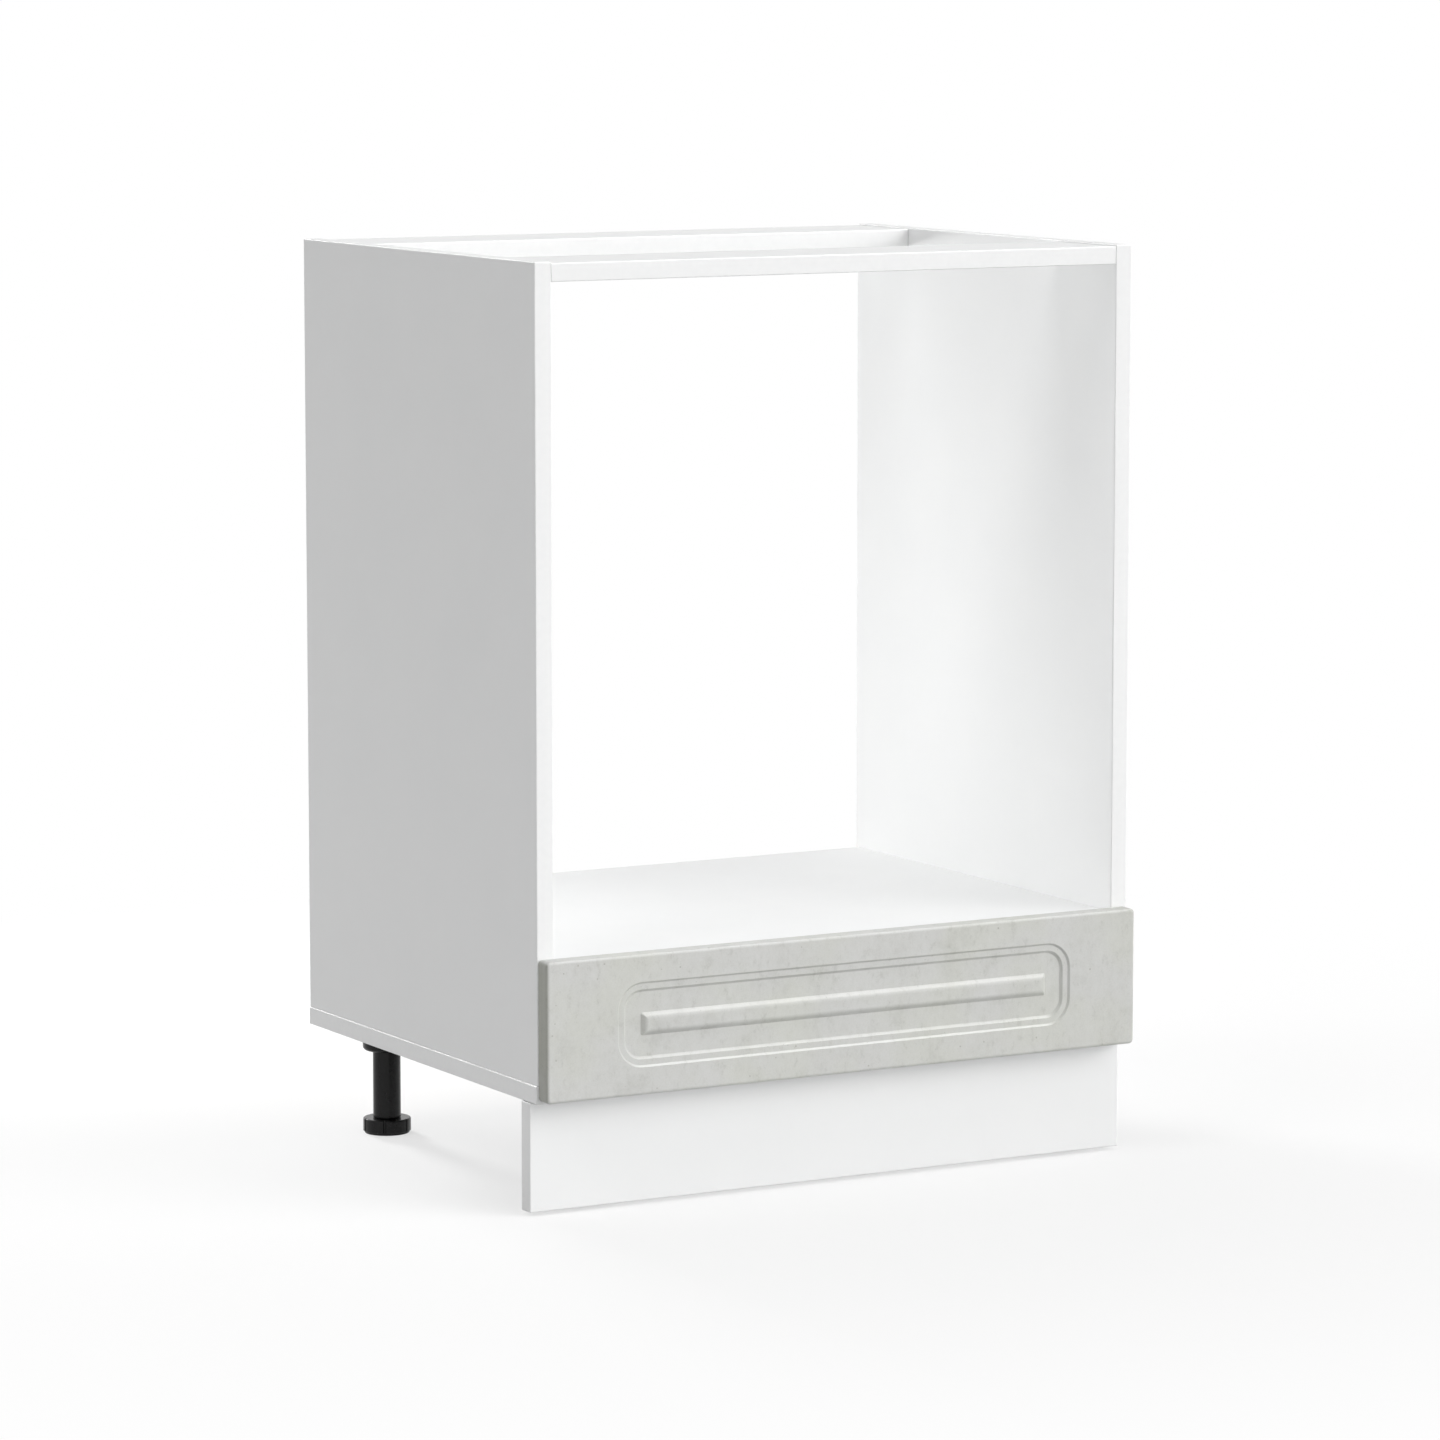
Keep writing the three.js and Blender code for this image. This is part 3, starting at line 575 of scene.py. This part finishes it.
for index in range(FOOT_GROOVES):
    angle = GROOVE_TURN + math.tau * index / FOOT_GROOVES
    rim = Vector((foot_radius * math.cos(angle), foot_radius * math.sin(angle), 0))
    grooves.append(upright_rod(rim, FOOT_LIP, FOOT_HEIGHT + CUT_OVERRUN, GROOVE_RADIUS, sides=24))
foot_mesh = cut_away(make_mesh("leg_foot", foot_turning, [BLACK_PLASTIC]), grooves)
stem_mesh = make_mesh("leg_stem", threaded_stem(FOOT_HEIGHT - STEM_ROOT, foot_high.z),
                      [BLACK_PLASTIC], sharp_degrees=60)

for leg_place in LEG_PLACES:
    foot_low, foot_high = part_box(f"leg_foot_{leg_place}")
    axis = (foot_low + foot_high) / 2
    foot_body = f"foot_{leg_place}"
    for part, part_mesh, body, nodes in (
        ("socket_cup", socket_mesh, "carcass", [f"leg_socket_{leg_place}"]),
        ("leg_barrel", tube_mesh, "carcass", [f"leg_tube_{leg_place}"]),
        ("foot_disc", foot_mesh, foot_body, [f"leg_foot_{leg_place}"]),
        ("foot_stem", stem_mesh, foot_body, []),
    ):
        link_piece(f"{part}_{leg_place}", part_mesh, body, nodes,
                   at=(axis.x, axis.y, 0))

# ---- Plinth ------------------------------------------------------------------------------------
# A strip of the white board behind the toe space. A milky plastic clip is screwed to its back in
# front of each front leg, and its two arms are pushed over the leg's tube.

CLIP_ARRIS = 0.0005


def make_milky_plastic():
    finish, tree, shader = new_finish("milky_plastic", 0.33)
    tone = shades(tree, mottle(tree, 0.01, 2), (0.3, (0.70, 0.71, 0.70)),
                  (0.7, (0.76, 0.77, 0.76)))
    tree.links.new(tone, shader.inputs["Base Color"])
    shader.inputs["Subsurface Weight"].default_value = 0.25
    shader.inputs["Subsurface Radius"].default_value = (0.004, 0.004, 0.004)
    emboss(tree, shader, (mottle(tree, 0.0009, 2), 0.00001))
    return finish


make_board("plinth_strip", "plinth_board", "plinth", ("left", "right", "top", "bottom"))
MILKY_PLASTIC = make_milky_plastic()
for side in SIDES:
    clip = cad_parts[f"plinth_clip_{side}"]
    clip.material_slots[0].material = MILKY_PLASTIC
    eased = clip.modifiers.new("eased", "BEVEL")
    eased.width = CLIP_ARRIS
    eased.segments = 2
    eased.limit_method = "ANGLE"
    eased.angle_limit = math.radians(50)

# ---- Milled drawer front -----------------------------------------------------------------------
# Fibreboard, 16 mm, milled with two stepped recesses round a bevelled bar, then wrapped in a matt
# film printed as pale concrete. Its back keeps the board's own white face.

FRONT_BACK_ARRIS = 0.0003
FRONT_EDGE_ROUND = 0.003
FRONT_EDGE_STEPS = 8
FRONT_CORNER_RADIUS = 0.004
LEAST_CORNER = 0.0003
FIELD_END_INSET = 0.0685
FIELD_EDGE_INSET = 0.02425
FIELD_CORNER_RADIUS = 0.024
CUTTER_LEAN = math.radians(45)
STEP_SPACING = 0.00675
STEP_ARRIS = 0.0006
OUTER_STEP = 0.00175
OUTER_HOLLOW = 0.0008
INNER_STEP = 0.00225
INNER_HOLLOW = 0.0012
BAR_END_GAP = 0.0175
BAR_HEIGHT = 0.020
BAR_BEVEL = 0.004
BAR_CORNER = 0.0006
BAR_FOOT_CORNER = 0.0016
BAR_FOOT = 0.0008
BAR_ROUND = 0.005
PRINT_AT_PORES = (0.43, 0.43, 0.40, 1.0)
# Painted shade: the tint that darkens the film on the front's two narrow end faces.
PAINTED_SHADE_AT_ENDS = (0.70, 0.70, 0.665)


def calculate(tree, operation, *values):
    """What a Math node makes of values or sockets."""
    return add(tree, "Math", dict(enumerate(values)), operation=operation).outputs[0]


def film_clouds(tree):
    """The print: wide warm and cool patches, smudges and scuffs as from a trowel, and fine grain."""
    patches = shades(tree, mottle(tree, 0.07, 3), (0.40, (0.636, 0.642, 0.608)),
                     (0.58, (0.642, 0.645, 0.630)))
    smudges = shades(tree, mottle(tree, 0.045, 12, 0.78), (0.34, (0.89, 0.89, 0.88)),
                     (0.46, (0.975, 0.975, 0.97)), (0.60, UNTINTED))
    scuffs = shades(tree, mottle(tree, 0.009, 6, 0.75, stretch=(0.8, 1, 1.4)),
                    (0.30, (0.85, 0.85, 0.84)), (0.44, (0.978, 0.978, 0.975)), (0.64, UNTINTED))
    grain = shades(tree, mottle(tree, 0.0013, 3, 0.6), (0.3, (0.95, 0.95, 0.945)),
                   (0.6, UNTINTED))
    return tinted(tree, tinted(tree, patches, smudges), tinted(tree, scuffs, grain))


def film_pores(tree, spacing, share, narrow, wide):
    """1 inside a printed pore. `share` of the cells hold one, with a radius from narrow to wide,
    and they keep to some patches of the sheet."""
    spots = cells(tree, spacing)
    chance = cell_tone(tree, spots)
    held = calculate(tree, "GREATER_THAN", chance, 1 - share)
    patch = span(tree, mottle(tree, 0.04, 4, 0.6), 0.0, 1.0, start=0.44, end=0.52)
    radius = span(tree, chance, narrow / spacing, wide / spacing, start=1 - share)
    ragged = span(tree, mottle(tree, narrow * 1.6, 2), -0.5 * narrow / spacing,
                  0.5 * narrow / spacing)
    distance = calculate(tree, "ADD", spots.outputs["Distance"], ragged)
    core = calculate(tree, "MULTIPLY", radius, 0.5)
    inside = span(tree, distance, 1.0, 0.0, start=core, end=radius)
    return calculate(tree, "MULTIPLY", inside, calculate(tree, "MULTIPLY", held, patch))


def make_concrete_film(length):
    """The matt film on a front of that length. Over its two narrow ends the colour is darkened,
    which is painted shade on those end faces."""
    finish, tree, shader = new_finish("concrete_film", 0.42)
    shader.inputs["Specular IOR Level"].default_value = 0.2
    coarse = film_pores(tree, spacing=0.011, share=0.5, narrow=0.0006, wide=0.0014)
    fine = film_pores(tree, spacing=0.0042, share=0.4, narrow=0.0003, wide=0.0007)
    pores = calculate(tree, "MAXIMUM", coarse, fine)
    inputs = {"Factor": pores, "A": film_clouds(tree), "B": PRINT_AT_PORES}
    print_colour = add(tree, "Mix", inputs, data_type="RGBA").outputs["Result"]
    # Painted shade: the film's colour is darkened towards the two narrow end faces.
    along = add(tree, "SeparateXYZ", {"Vector": own_place(tree)}).outputs["X"]
    end_shade_amount = span(tree, calculate(tree, "ABSOLUTE", along), 0.0, 1.0,
                  start=length / 2 - FRONT_EDGE_ROUND / 2, end=length / 2)
    painted_end_shade = shades(tree, end_shade_amount, (0.0, UNTINTED), (0.7, PAINTED_SHADE_AT_ENDS))
    tree.links.new(tinted(tree, print_colour, painted_end_shade), shader.inputs["Base Color"])
    tree.links.new(span(tree, mottle(tree, 0.006, 4), 0.36, 0.48), shader.inputs["Roughness"])
    emboss(tree, shader, (calculate(tree, "SUBTRACT", 1.0, pores), 0.00005),
           (mottle(tree, 0.0009, 3), 0.00001))
    return finish


front_low, front_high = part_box("drawer_front")
front_size = front_high - front_low
front_middle = (front_low + front_high) / 2
front_rings = []
CONCRETE_FILM = make_concrete_film(front_size.x)


def rounded_outline(width, height, radius, steps=12):
    """Corners of a rounded rectangle about 0,0, always the same number of them."""
    points = []
    for turn, (across, up) in enumerate(((1, -1), (1, 1), (-1, 1), (-1, -1))):
        for step in range(steps + 1):
            angle = math.radians(90 * (turn - 1 + step / steps))
            points.append((across * (width / 2 - radius) + radius * math.cos(angle),
                           up * (height / 2 - radius) + radius * math.sin(angle)))
    return points


def front_ring(width, height, radius, depth):
    """One outline of the milling, `depth` behind the face."""
    front_rings.append([(front_middle.x + x, front_low.y + depth, front_middle.z + z)
                        for x, z in rounded_outline(width, height, max(radius, LEAST_CORNER))])


def milled_step(width, height, radius, top, fall, hollow, steps=5):
    """The cutter's flank: an eased arris, a straight slope, and a hollow at the recess's floor."""
    for step in range(steps + 1):
        angle = CUTTER_LEAN * step / steps
        inset = STEP_ARRIS * (math.sin(angle) - math.tan(CUTTER_LEAN / 2))
        depth = STEP_ARRIS * (1 - math.cos(angle))
        front_ring(width - 2 * inset, height - 2 * inset, radius - inset, top + depth)
    for step in range(steps + 1):
        angle = CUTTER_LEAN * (1 - step / steps)
        inset = fall + hollow * (math.tan(CUTTER_LEAN / 2) - math.sin(angle))
        depth = fall - hollow * (1 - math.cos(angle))
        front_ring(width - 2 * inset, height - 2 * inset, radius - inset, top + depth)


def bevelled_bar(width, height, rise, foot_steps=5, round_steps=8):
    """The bar that the recesses run round: a hollow at its foot, a bevel, and a wide round above."""
    lean = math.atan2(rise, BAR_BEVEL)
    for step in range(foot_steps + 1):
        angle = lean * step / foot_steps
        inset = BAR_FOOT * (math.sin(angle) - math.tan(lean / 2))
        front_ring(width - 2 * inset, height - 2 * inset, BAR_FOOT_CORNER,
                   rise - BAR_FOOT * (1 - math.cos(angle)))
    for step in range(round_steps + 1):
        angle = lean * (1 - step / round_steps)
        inset = BAR_BEVEL + BAR_ROUND * (math.tan(lean / 2) - math.sin(angle))
        front_ring(width - 2 * inset, height - 2 * inset, BAR_CORNER,
                   BAR_ROUND * (1 - math.cos(angle)))


front_ring(front_size.x - 2 * FRONT_BACK_ARRIS, front_size.z - 2 * FRONT_BACK_ARRIS,
           FRONT_CORNER_RADIUS, front_size.y)
front_ring(front_size.x, front_size.z, FRONT_CORNER_RADIUS, front_size.y - FRONT_BACK_ARRIS)
for step in range(FRONT_EDGE_STEPS + 1):
    angle = math.radians(90 * step / FRONT_EDGE_STEPS)
    inset = FRONT_EDGE_ROUND * (1 - math.cos(angle))
    front_ring(front_size.x - 2 * inset, front_size.z - 2 * inset, FRONT_CORNER_RADIUS - inset,
               FRONT_EDGE_ROUND * (1 - math.sin(angle)))
field_width = front_size.x - 2 * FIELD_END_INSET
field_height = front_size.z - 2 * FIELD_EDGE_INSET
inner_width = field_width - 2 * STEP_SPACING
inner_height = field_height - 2 * STEP_SPACING
milled_step(field_width, field_height, FIELD_CORNER_RADIUS, 0, OUTER_STEP, OUTER_HOLLOW)
milled_step(inner_width, inner_height, FIELD_CORNER_RADIUS - STEP_SPACING, OUTER_STEP, INNER_STEP,
            INNER_HOLLOW)
bevelled_bar(inner_width - 2 * BAR_END_GAP, BAR_HEIGHT, OUTER_STEP + INNER_STEP)

front_shape = bmesh.new()
front_corners = [[front_shape.verts.new(point) for point in ring] for ring in front_rings]
for ring, following in zip(front_corners, front_corners[1:]):
    for index in range(len(ring)):
        after = (index + 1) % len(ring)
        front_shape.faces.new([ring[index], ring[after], following[after], following[index]])
front_shape.faces.new(front_corners[-1])
back_face = front_shape.faces.new(front_corners[0])
back_face.material_index = 1
front_mesh = make_mesh("milled_front", front_shape, [CONCRETE_FILM, MELAMINE], sharp_degrees=40)
link_piece("milled_front", front_mesh, "drawer", ["drawer_front"])

# ---- Drawer box --------------------------------------------------------------------------------
# Two sides, an inner front and a back of the white board, banded along their upper edges, on a base
# of thin hardboard that is painted white inside. Two screws hold the milled front.

SCREW_HOLE = 0.00205
SCREW_SHANK = 0.0018
SCREW_POINT = 0.003
SCREW_POINT_RIM = (0.0016, 0.0022)
SCREW_HEAD_HEIGHT = 0.0024
SCREW_HEAD_RIM = 0.0006
SCREW_HEAD_ROUND = 0.0014
SCREW_SLOT_LENGTH = 0.0048
SCREW_SLOT_WIDTH = 0.001
SCREW_SLOT_DEPTH = 0.0012


def make_hardboard():
    finish, tree, shader = new_finish("brown_hardboard", 0.7)
    fibres = shades(tree, mottle(tree, 0.0018, 6, 0.7), (0.3, (0.17, 0.095, 0.050)),
                    (0.7, (0.27, 0.165, 0.095)))
    tree.links.new(fibres, shader.inputs["Base Color"])
    emboss(tree, shader, (mottle(tree, 0.0012, 4), 0.00006))
    return finish


HARDBOARD = make_hardboard()

for side in SIDES:
    make_board(f"box_side_{side}", f"drawer_side_{side}", "drawer", ("top",), ("back", "bottom"))
screw_bores = []
for side in SIDES:
    low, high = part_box(f"front_screw_{side}")
    axis = (low + high) / 2
    screw_bores.append(rod(Vector((axis.x, low.y, axis.z)), Vector((axis.x, high.y, axis.z)),
                           SCREW_HOLE))
make_board("box_inner_front", "drawer_inner_front", "drawer", ("top",),
           ("left", "right", "bottom"), screw_bores)
make_board("box_back", "drawer_back", "drawer", ("top",), ("left", "right", "bottom"))
make_board("box_base", "drawer_base", "drawer", (), ("left", "right", "front", "back", "bottom"),
           finishes=(MELAMINE, EDGE_BAND, HARDBOARD))

low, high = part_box("front_screw_left")
screw_head = (high.x - low.x) / 2
screw_length = high.y - low.y
under_head = screw_length - SCREW_HEAD_HEIGHT
screw_turning = turn_profile([
    (0, 0), SCREW_POINT_RIM, (SCREW_SHANK, SCREW_POINT), (SCREW_SHANK, under_head),
    (screw_head, under_head), (screw_head, under_head + SCREW_HEAD_RIM),
    *arc(screw_head - SCREW_HEAD_ROUND, screw_length - SCREW_HEAD_ROUND, SCREW_HEAD_ROUND,
         0, 90, steps=4),
    (0, screw_length),
], sides=32)
screw_mesh = cut_away(make_mesh("front_screw", screw_turning, [ZINC]),
                      cross_slot(SCREW_SLOT_LENGTH, SCREW_SLOT_WIDTH,
                                 screw_length - SCREW_SLOT_DEPTH, screw_length + CUT_OVERRUN))
for side in SIDES:
    low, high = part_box(f"front_screw_{side}")
    link_piece(f"box_screw_{side}", screw_mesh, "drawer", [f"front_screw_{side}"],
               at=((low.x + high.x) / 2, low.y, (low.z + high.z) / 2),
               turned=(math.radians(-90), 0, 0))

# ---- Roller runners ----------------------------------------------------------------------------
# White powder-coated steel sheet, rolled to an open channel on the side panel and to an angled
# track under the drawer box. Each carries one nylon roller that turns on a riveted pin.

SHEET = 0.0012
BEND = 0.0014
BEND_STEPS = 6
SUPPORT_WIDTH = 0.012
PIN_SPARE = 0.0003
RIVET_RADIUS = 0.0025
RIVET_HEAD_RADIUS = 0.004
RIVET_DOME = ((0, 0.0008), (0.002, 0.0007), (0.0034, 0.0004))
ROLLER_RADIUS = 0.009
ROLLER_ARRIS = 0.0006
ROLLER_BORE = 0.0027
ROLLER_HUB = 0.0048
ROLLER_TREAD = 0.0072
DISH_DEPTH = 0.0008
DISH_SLOPE = 0.0002


def make_powder_coat():
    finish, tree, shader = new_finish("white_powder_coat", 0.37)
    tone = shades(tree, mottle(tree, 0.015, 2), (0.3, (0.80, 0.80, 0.79)),
                  (0.7, (0.84, 0.84, 0.83)))
    tree.links.new(tone, shader.inputs["Base Color"])
    tree.links.new(span(tree, mottle(tree, 0.003, 2), 0.33, 0.41), shader.inputs["Roughness"])
    emboss(tree, shader, (mottle(tree, 0.0009, 2), 0.000004))
    return finish


def make_nylon():
    finish, tree, shader = new_finish("natural_nylon", 0.4)
    tone = shades(tree, mottle(tree, 0.006, 2), (0.3, (0.72, 0.70, 0.64)),
                  (0.7, (0.77, 0.755, 0.70)))
    tree.links.new(tone, shader.inputs["Base Color"])
    shader.inputs["Subsurface Weight"].default_value = 0.3
    shader.inputs["Subsurface Radius"].default_value = (0.003, 0.003, 0.0025)
    emboss(tree, shader, (mottle(tree, 0.0005, 2), 0.00001))
    return finish


POWDER_COAT = make_powder_coat()
NYLON = make_nylon()


def bent_sheet(lower_edge, web, upper_edge, low, high):
    """Sheet bent square at both ends of an upright web. The first three are places along X; low and
    high are the corners of the space it fills."""
    below, above = low.z + SHEET / 2, high.z - SHEET / 2
    path = [Vector((lower_edge, below)), Vector((web, below)),
            Vector((web, above)), Vector((upper_edge, above))]
    line = [path[0]]
    for before, corner, after in zip(path, path[1:], path[2:]):
        arriving, leaving = (corner - before).normalized(), (after - corner).normalized()
        centre = corner - arriving * BEND + leaving * BEND
        for step in range(BEND_STEPS + 1):
            angle = math.radians(90 * step / BEND_STEPS)
            line.append(centre + (arriving * math.sin(angle) - leaving * math.cos(angle)) * BEND)
    line.append(path[-1])
    left, right = [], []
    for index, spot in enumerate(line):
        heading = (line[min(index + 1, len(line) - 1)] - line[max(index - 1, 0)]).normalized()
        aside = Vector((-heading.y, heading.x)) * SHEET / 2
        left.append(spot + aside)
        right.append(spot - aside)
    shape = bmesh.new()
    near_left, near_right, far_left, far_right = [
        [shape.verts.new((x, y, z)) for x, z in edge]
        for y in (low.y, high.y) for edge in (left, right)]
    around = [near_left, near_right, far_right, far_left]
    for index in range(len(line) - 1):
        after = index + 1
        for row, next_row in zip(around, around[1:] + around[:1]):
            shape.faces.new([row[index], row[after], next_row[after], next_row[index]])
    for index in (0, -1):
        shape.faces.new([row[index] for row in around])
    return shape


def along_x(shape, place_at, sign):
    """Lays a turned shape along X, pointing away from the side panel that `sign` names."""
    turn = Matrix.Rotation(math.radians(-90 * sign), 4, "Y")
    shape.transform(Matrix.Translation(place_at) @ turn)
    return shape


def merge(*shapes):
    """One bmesh that holds several closed shapes."""
    whole = bmesh.new()
    for shape in shapes:
        passing = bpy.data.meshes.new("passing")
        shape.to_mesh(passing)
        shape.free()
        whole.from_mesh(passing)
        bpy.data.meshes.remove(passing)
    return whole


def rivet(length, head_side):
    """A pin of that length with a domed head; the dome points along +Z or -Z."""
    profile = [(radius, length + rise) for radius, rise in RIVET_DOME]
    profile += [(RIVET_HEAD_RADIUS, length), (RIVET_RADIUS, length), (RIVET_RADIUS, 0), (0, 0)]
    return turn_profile([(radius, height * head_side) for radius, height in profile], sides=40)


def roller_turning(width):
    """A roller about Z, dished on both faces between its hub and its tread."""
    half = width / 2
    face = [
        (ROLLER_BORE, half), (ROLLER_HUB, half), (ROLLER_HUB + DISH_SLOPE, half - DISH_DEPTH),
        (ROLLER_TREAD - DISH_SLOPE, half - DISH_DEPTH), (ROLLER_TREAD, half),
        (ROLLER_RADIUS - ROLLER_ARRIS, half), (ROLLER_RADIUS, half - ROLLER_ARRIS),
    ]
    other_face = [(radius, -height) for radius, height in face]
    return turn_profile([*other_face, *reversed(face), other_face[0]], sides=64)


def fit_runner(runner, form, body, side, sheet, web, head_side):
    """Rivets a pin to the bent sheet's web and puts a nylon roller on it, as two pieces."""
    low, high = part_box(f"{runner}_roller_{side}")
    axis, width = (low + high) / 2, high.x - low.x
    pin = rivet(abs(axis.x - web) + width / 2 + PIN_SPARE, head_side)
    steel = merge(sheet, along_x(pin, Vector((web, axis.y, axis.z)), SIDES[side]))
    steel_mesh = make_mesh(f"{runner}_{form}_{side}", steel, [POWDER_COAT], sharp_degrees=35)
    link_piece(f"{runner}_{form}_{side}", steel_mesh, body,
               [f"{runner}_runner_{side}"])
    wheel = along_x(roller_turning(width), axis, SIDES[side])
    wheel_mesh = make_mesh(f"{runner}_wheel_{side}", wheel, [NYLON], sharp_degrees=25)
    link_piece(f"{runner}_wheel_{side}", wheel_mesh, f"roller_{runner}_{side}",
               [f"{runner}_roller_{side}"])


for side, sign in SIDES.items():
    low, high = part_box(f"cabinet_runner_{side}")
    lip, wall = (low.x, high.x) if sign > 0 else (high.x, low.x)
    web = wall - sign * SHEET / 2
    channel = bent_sheet(lip, web, lip, low, high)
    fit_runner("cabinet", "channel", "carcass", side, channel, web, head_side=1)

    low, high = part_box(f"drawer_runner_{side}")
    support_end, track_end = (low.x, high.x) if sign > 0 else (high.x, low.x)
    web = support_end + sign * (SUPPORT_WIDTH + SHEET / 2)
    track = bent_sheet(support_end, web, track_end, low, high)
    fit_runner("drawer", "track", "drawer", side, track, web, head_side=-1)

# ---- Studio ------------------------------------------------------------------------------------
# A pale floor that runs into a white surround, and soft screens in front, behind and low on the
# right. A broad lamp stands on each side and one looks into the open back; two more only shine on
# edges. The lens is long and stands a little above the unit.

# Each screen is the way it lies from the unit, how narrow it is and how strong.
FRONT_SCREEN = ((0, -1, 0), 1, 0.78)
BACK_SCREEN = ((0, 1, 0), 1, 1.0)
RIGHT_SCREEN = ((0.613, -0.766, 0.192), 6, 2.4)
FLOOR_RADIUS = 30
FLOOR_SHOWN = (0.98, 0.98, 0.98, 1.0)
FLOOR_BOUNCE = (0.48, 0.48, 0.48, 1.0)
FLOOR_FADE_START = 0.3
FLOOR_FADE_END = 1.5
FLOOR_NEAR_GLOW = 0.6
WHITE_LIGHT = (1.0, 1.0, 1.0, 1.0)
CAMERA_PLACE = (-2.6747, -4.7675, 1.0956)
CAMERA_PITCH = 7.368
CAMERA_YAW = 29.309
CAMERA_LENS = 152.48
CAMERA_FILM = 36
CAMERA_REACH = 200


def seen_directly(tree, rays):
    """1 where the camera looks, straight or by a shine; 0 for the light that falls on the unit."""
    return calculate(tree, "MAXIMUM", rays["Is Camera Ray"], rays["Is Glossy Ray"])


def make_floor_paint():
    """Plain white floor; away from the unit the camera sees it as bright as the surround."""
    finish = bpy.data.materials.new("floor_paint")
    finish.use_nodes = True
    tree = finish.node_tree
    tree.nodes.clear()
    direct = seen_directly(tree, add(tree, "LightPath", {}).outputs)
    inputs = {"Factor": direct, "A": FLOOR_BOUNCE, "B": FLOOR_SHOWN}
    colour = add(tree, "Mix", inputs, data_type="RGBA").outputs["Result"]
    paint = add(tree, "BsdfDiffuse", {"Color": colour}).outputs[0]
    white = add(tree, "Emission", {"Color": WHITE_LIGHT, "Strength": 1.0}).outputs[0]
    distance = add(tree, "VectorMath", {0: own_place(tree)}, operation="LENGTH").outputs["Value"]
    fade = span(tree, distance, FLOOR_NEAR_GLOW, 1.0, start=FLOOR_FADE_START, end=FLOOR_FADE_END,
                interpolation_type="SMOOTHSTEP")
    amount = calculate(tree, "MULTIPLY", fade, direct)
    mixed = add(tree, "MixShader", {0: amount, 1: paint, 2: white}).outputs[0]
    add(tree, "OutputMaterial", {"Surface": mixed})
    return finish


floor_shape = bmesh.new()
bmesh.ops.create_circle(floor_shape, cap_ends=True, segments=96, radius=FLOOR_RADIUS)
floor_mesh = make_mesh("floor", floor_shape, [make_floor_paint()])
floor = bpy.data.objects.new("floor", floor_mesh)
bpy.context.scene.collection.objects.link(floor)

surround = bpy.data.worlds.new("surround")
bpy.context.scene.world = surround
surround.use_nodes = True
sky = surround.node_tree
sky.nodes.clear()
rays = add(sky, "LightPath", {}).outputs
shown = calculate(sky, "MAXIMUM", seen_directly(sky, rays), rays["Is Transmission Ray"])
way = add(sky, "TexCoord", {}).outputs["Generated"]
soft = 0.0
for aim, narrowness, strength in (FRONT_SCREEN, BACK_SCREEN, RIGHT_SCREEN):
    along = add(sky, "VectorMath", {0: way, 1: aim}, operation="DOT_PRODUCT").outputs["Value"]
    screen = calculate(sky, "POWER", calculate(sky, "MAXIMUM", along, 0.0), narrowness)
    soft = calculate(sky, "MULTIPLY_ADD", screen, strength, soft)
level = span(sky, shown, soft, 1.0)
glow = add(sky, "Background", {"Color": WHITE_LIGHT, "Strength": level}).outputs[0]
add(sky, "OutputWorld", {"Surface": glow})


def add_lamp(name, kind, place_at, aim=(0, 0, 0), soft_light=True, highlight=False, **settings):
    """A lamp that the camera doesn't see. `soft_light` lets it light the surfaces, and `highlight`
    lets it shine in them."""
    lamp = bpy.data.lights.new(name, kind)
    for setting, value in settings.items():
        setattr(lamp, setting, value)
    holder = bpy.data.objects.new(name, lamp)
    holder.location = place_at
    holder.rotation_euler = (Vector(aim) - Vector(place_at)).to_track_quat("-Z", "Y").to_euler()
    holder.visible_camera = False
    holder.visible_diffuse = soft_light
    holder.visible_glossy = highlight
    bpy.context.scene.collection.objects.link(holder)


add_lamp("right_lamp", "SUN", (5.5, -6.0, 3.5), energy=0.83, angle=math.radians(40))
add_lamp("left_lamp", "SUN", (-4.0, -0.7, 5.0), energy=0.64, angle=math.radians(30))
add_lamp("back_lamp", "AREA", (-0.2, 1.7, 0.5), (0.15, 0, 0.3), energy=26, size=0.3)
add_lamp("front_edge_lamp", "SUN", (4.8, -1.3, 8.6), soft_light=False, highlight=True,
         energy=4.0, angle=math.radians(16))
add_lamp("side_edge_lamp", "SUN", (-1.3, 8.6, 4.8), soft_light=False, highlight=True,
         energy=1.0, angle=math.radians(16))

lens = bpy.data.cameras.new("long_lens")
lens.lens = CAMERA_LENS
lens.sensor_width = CAMERA_FILM
lens.clip_end = CAMERA_REACH
camera = bpy.data.objects.new("long_lens", lens)
camera.location = CAMERA_PLACE
camera.rotation_euler = (math.radians(90 - CAMERA_PITCH), 0, math.radians(-CAMERA_YAW))
bpy.context.scene.collection.objects.link(camera)
bpy.context.scene.camera = camera
bpy.context.scene.view_settings.view_transform = "Standard"

bpy.context.view_layer.update()
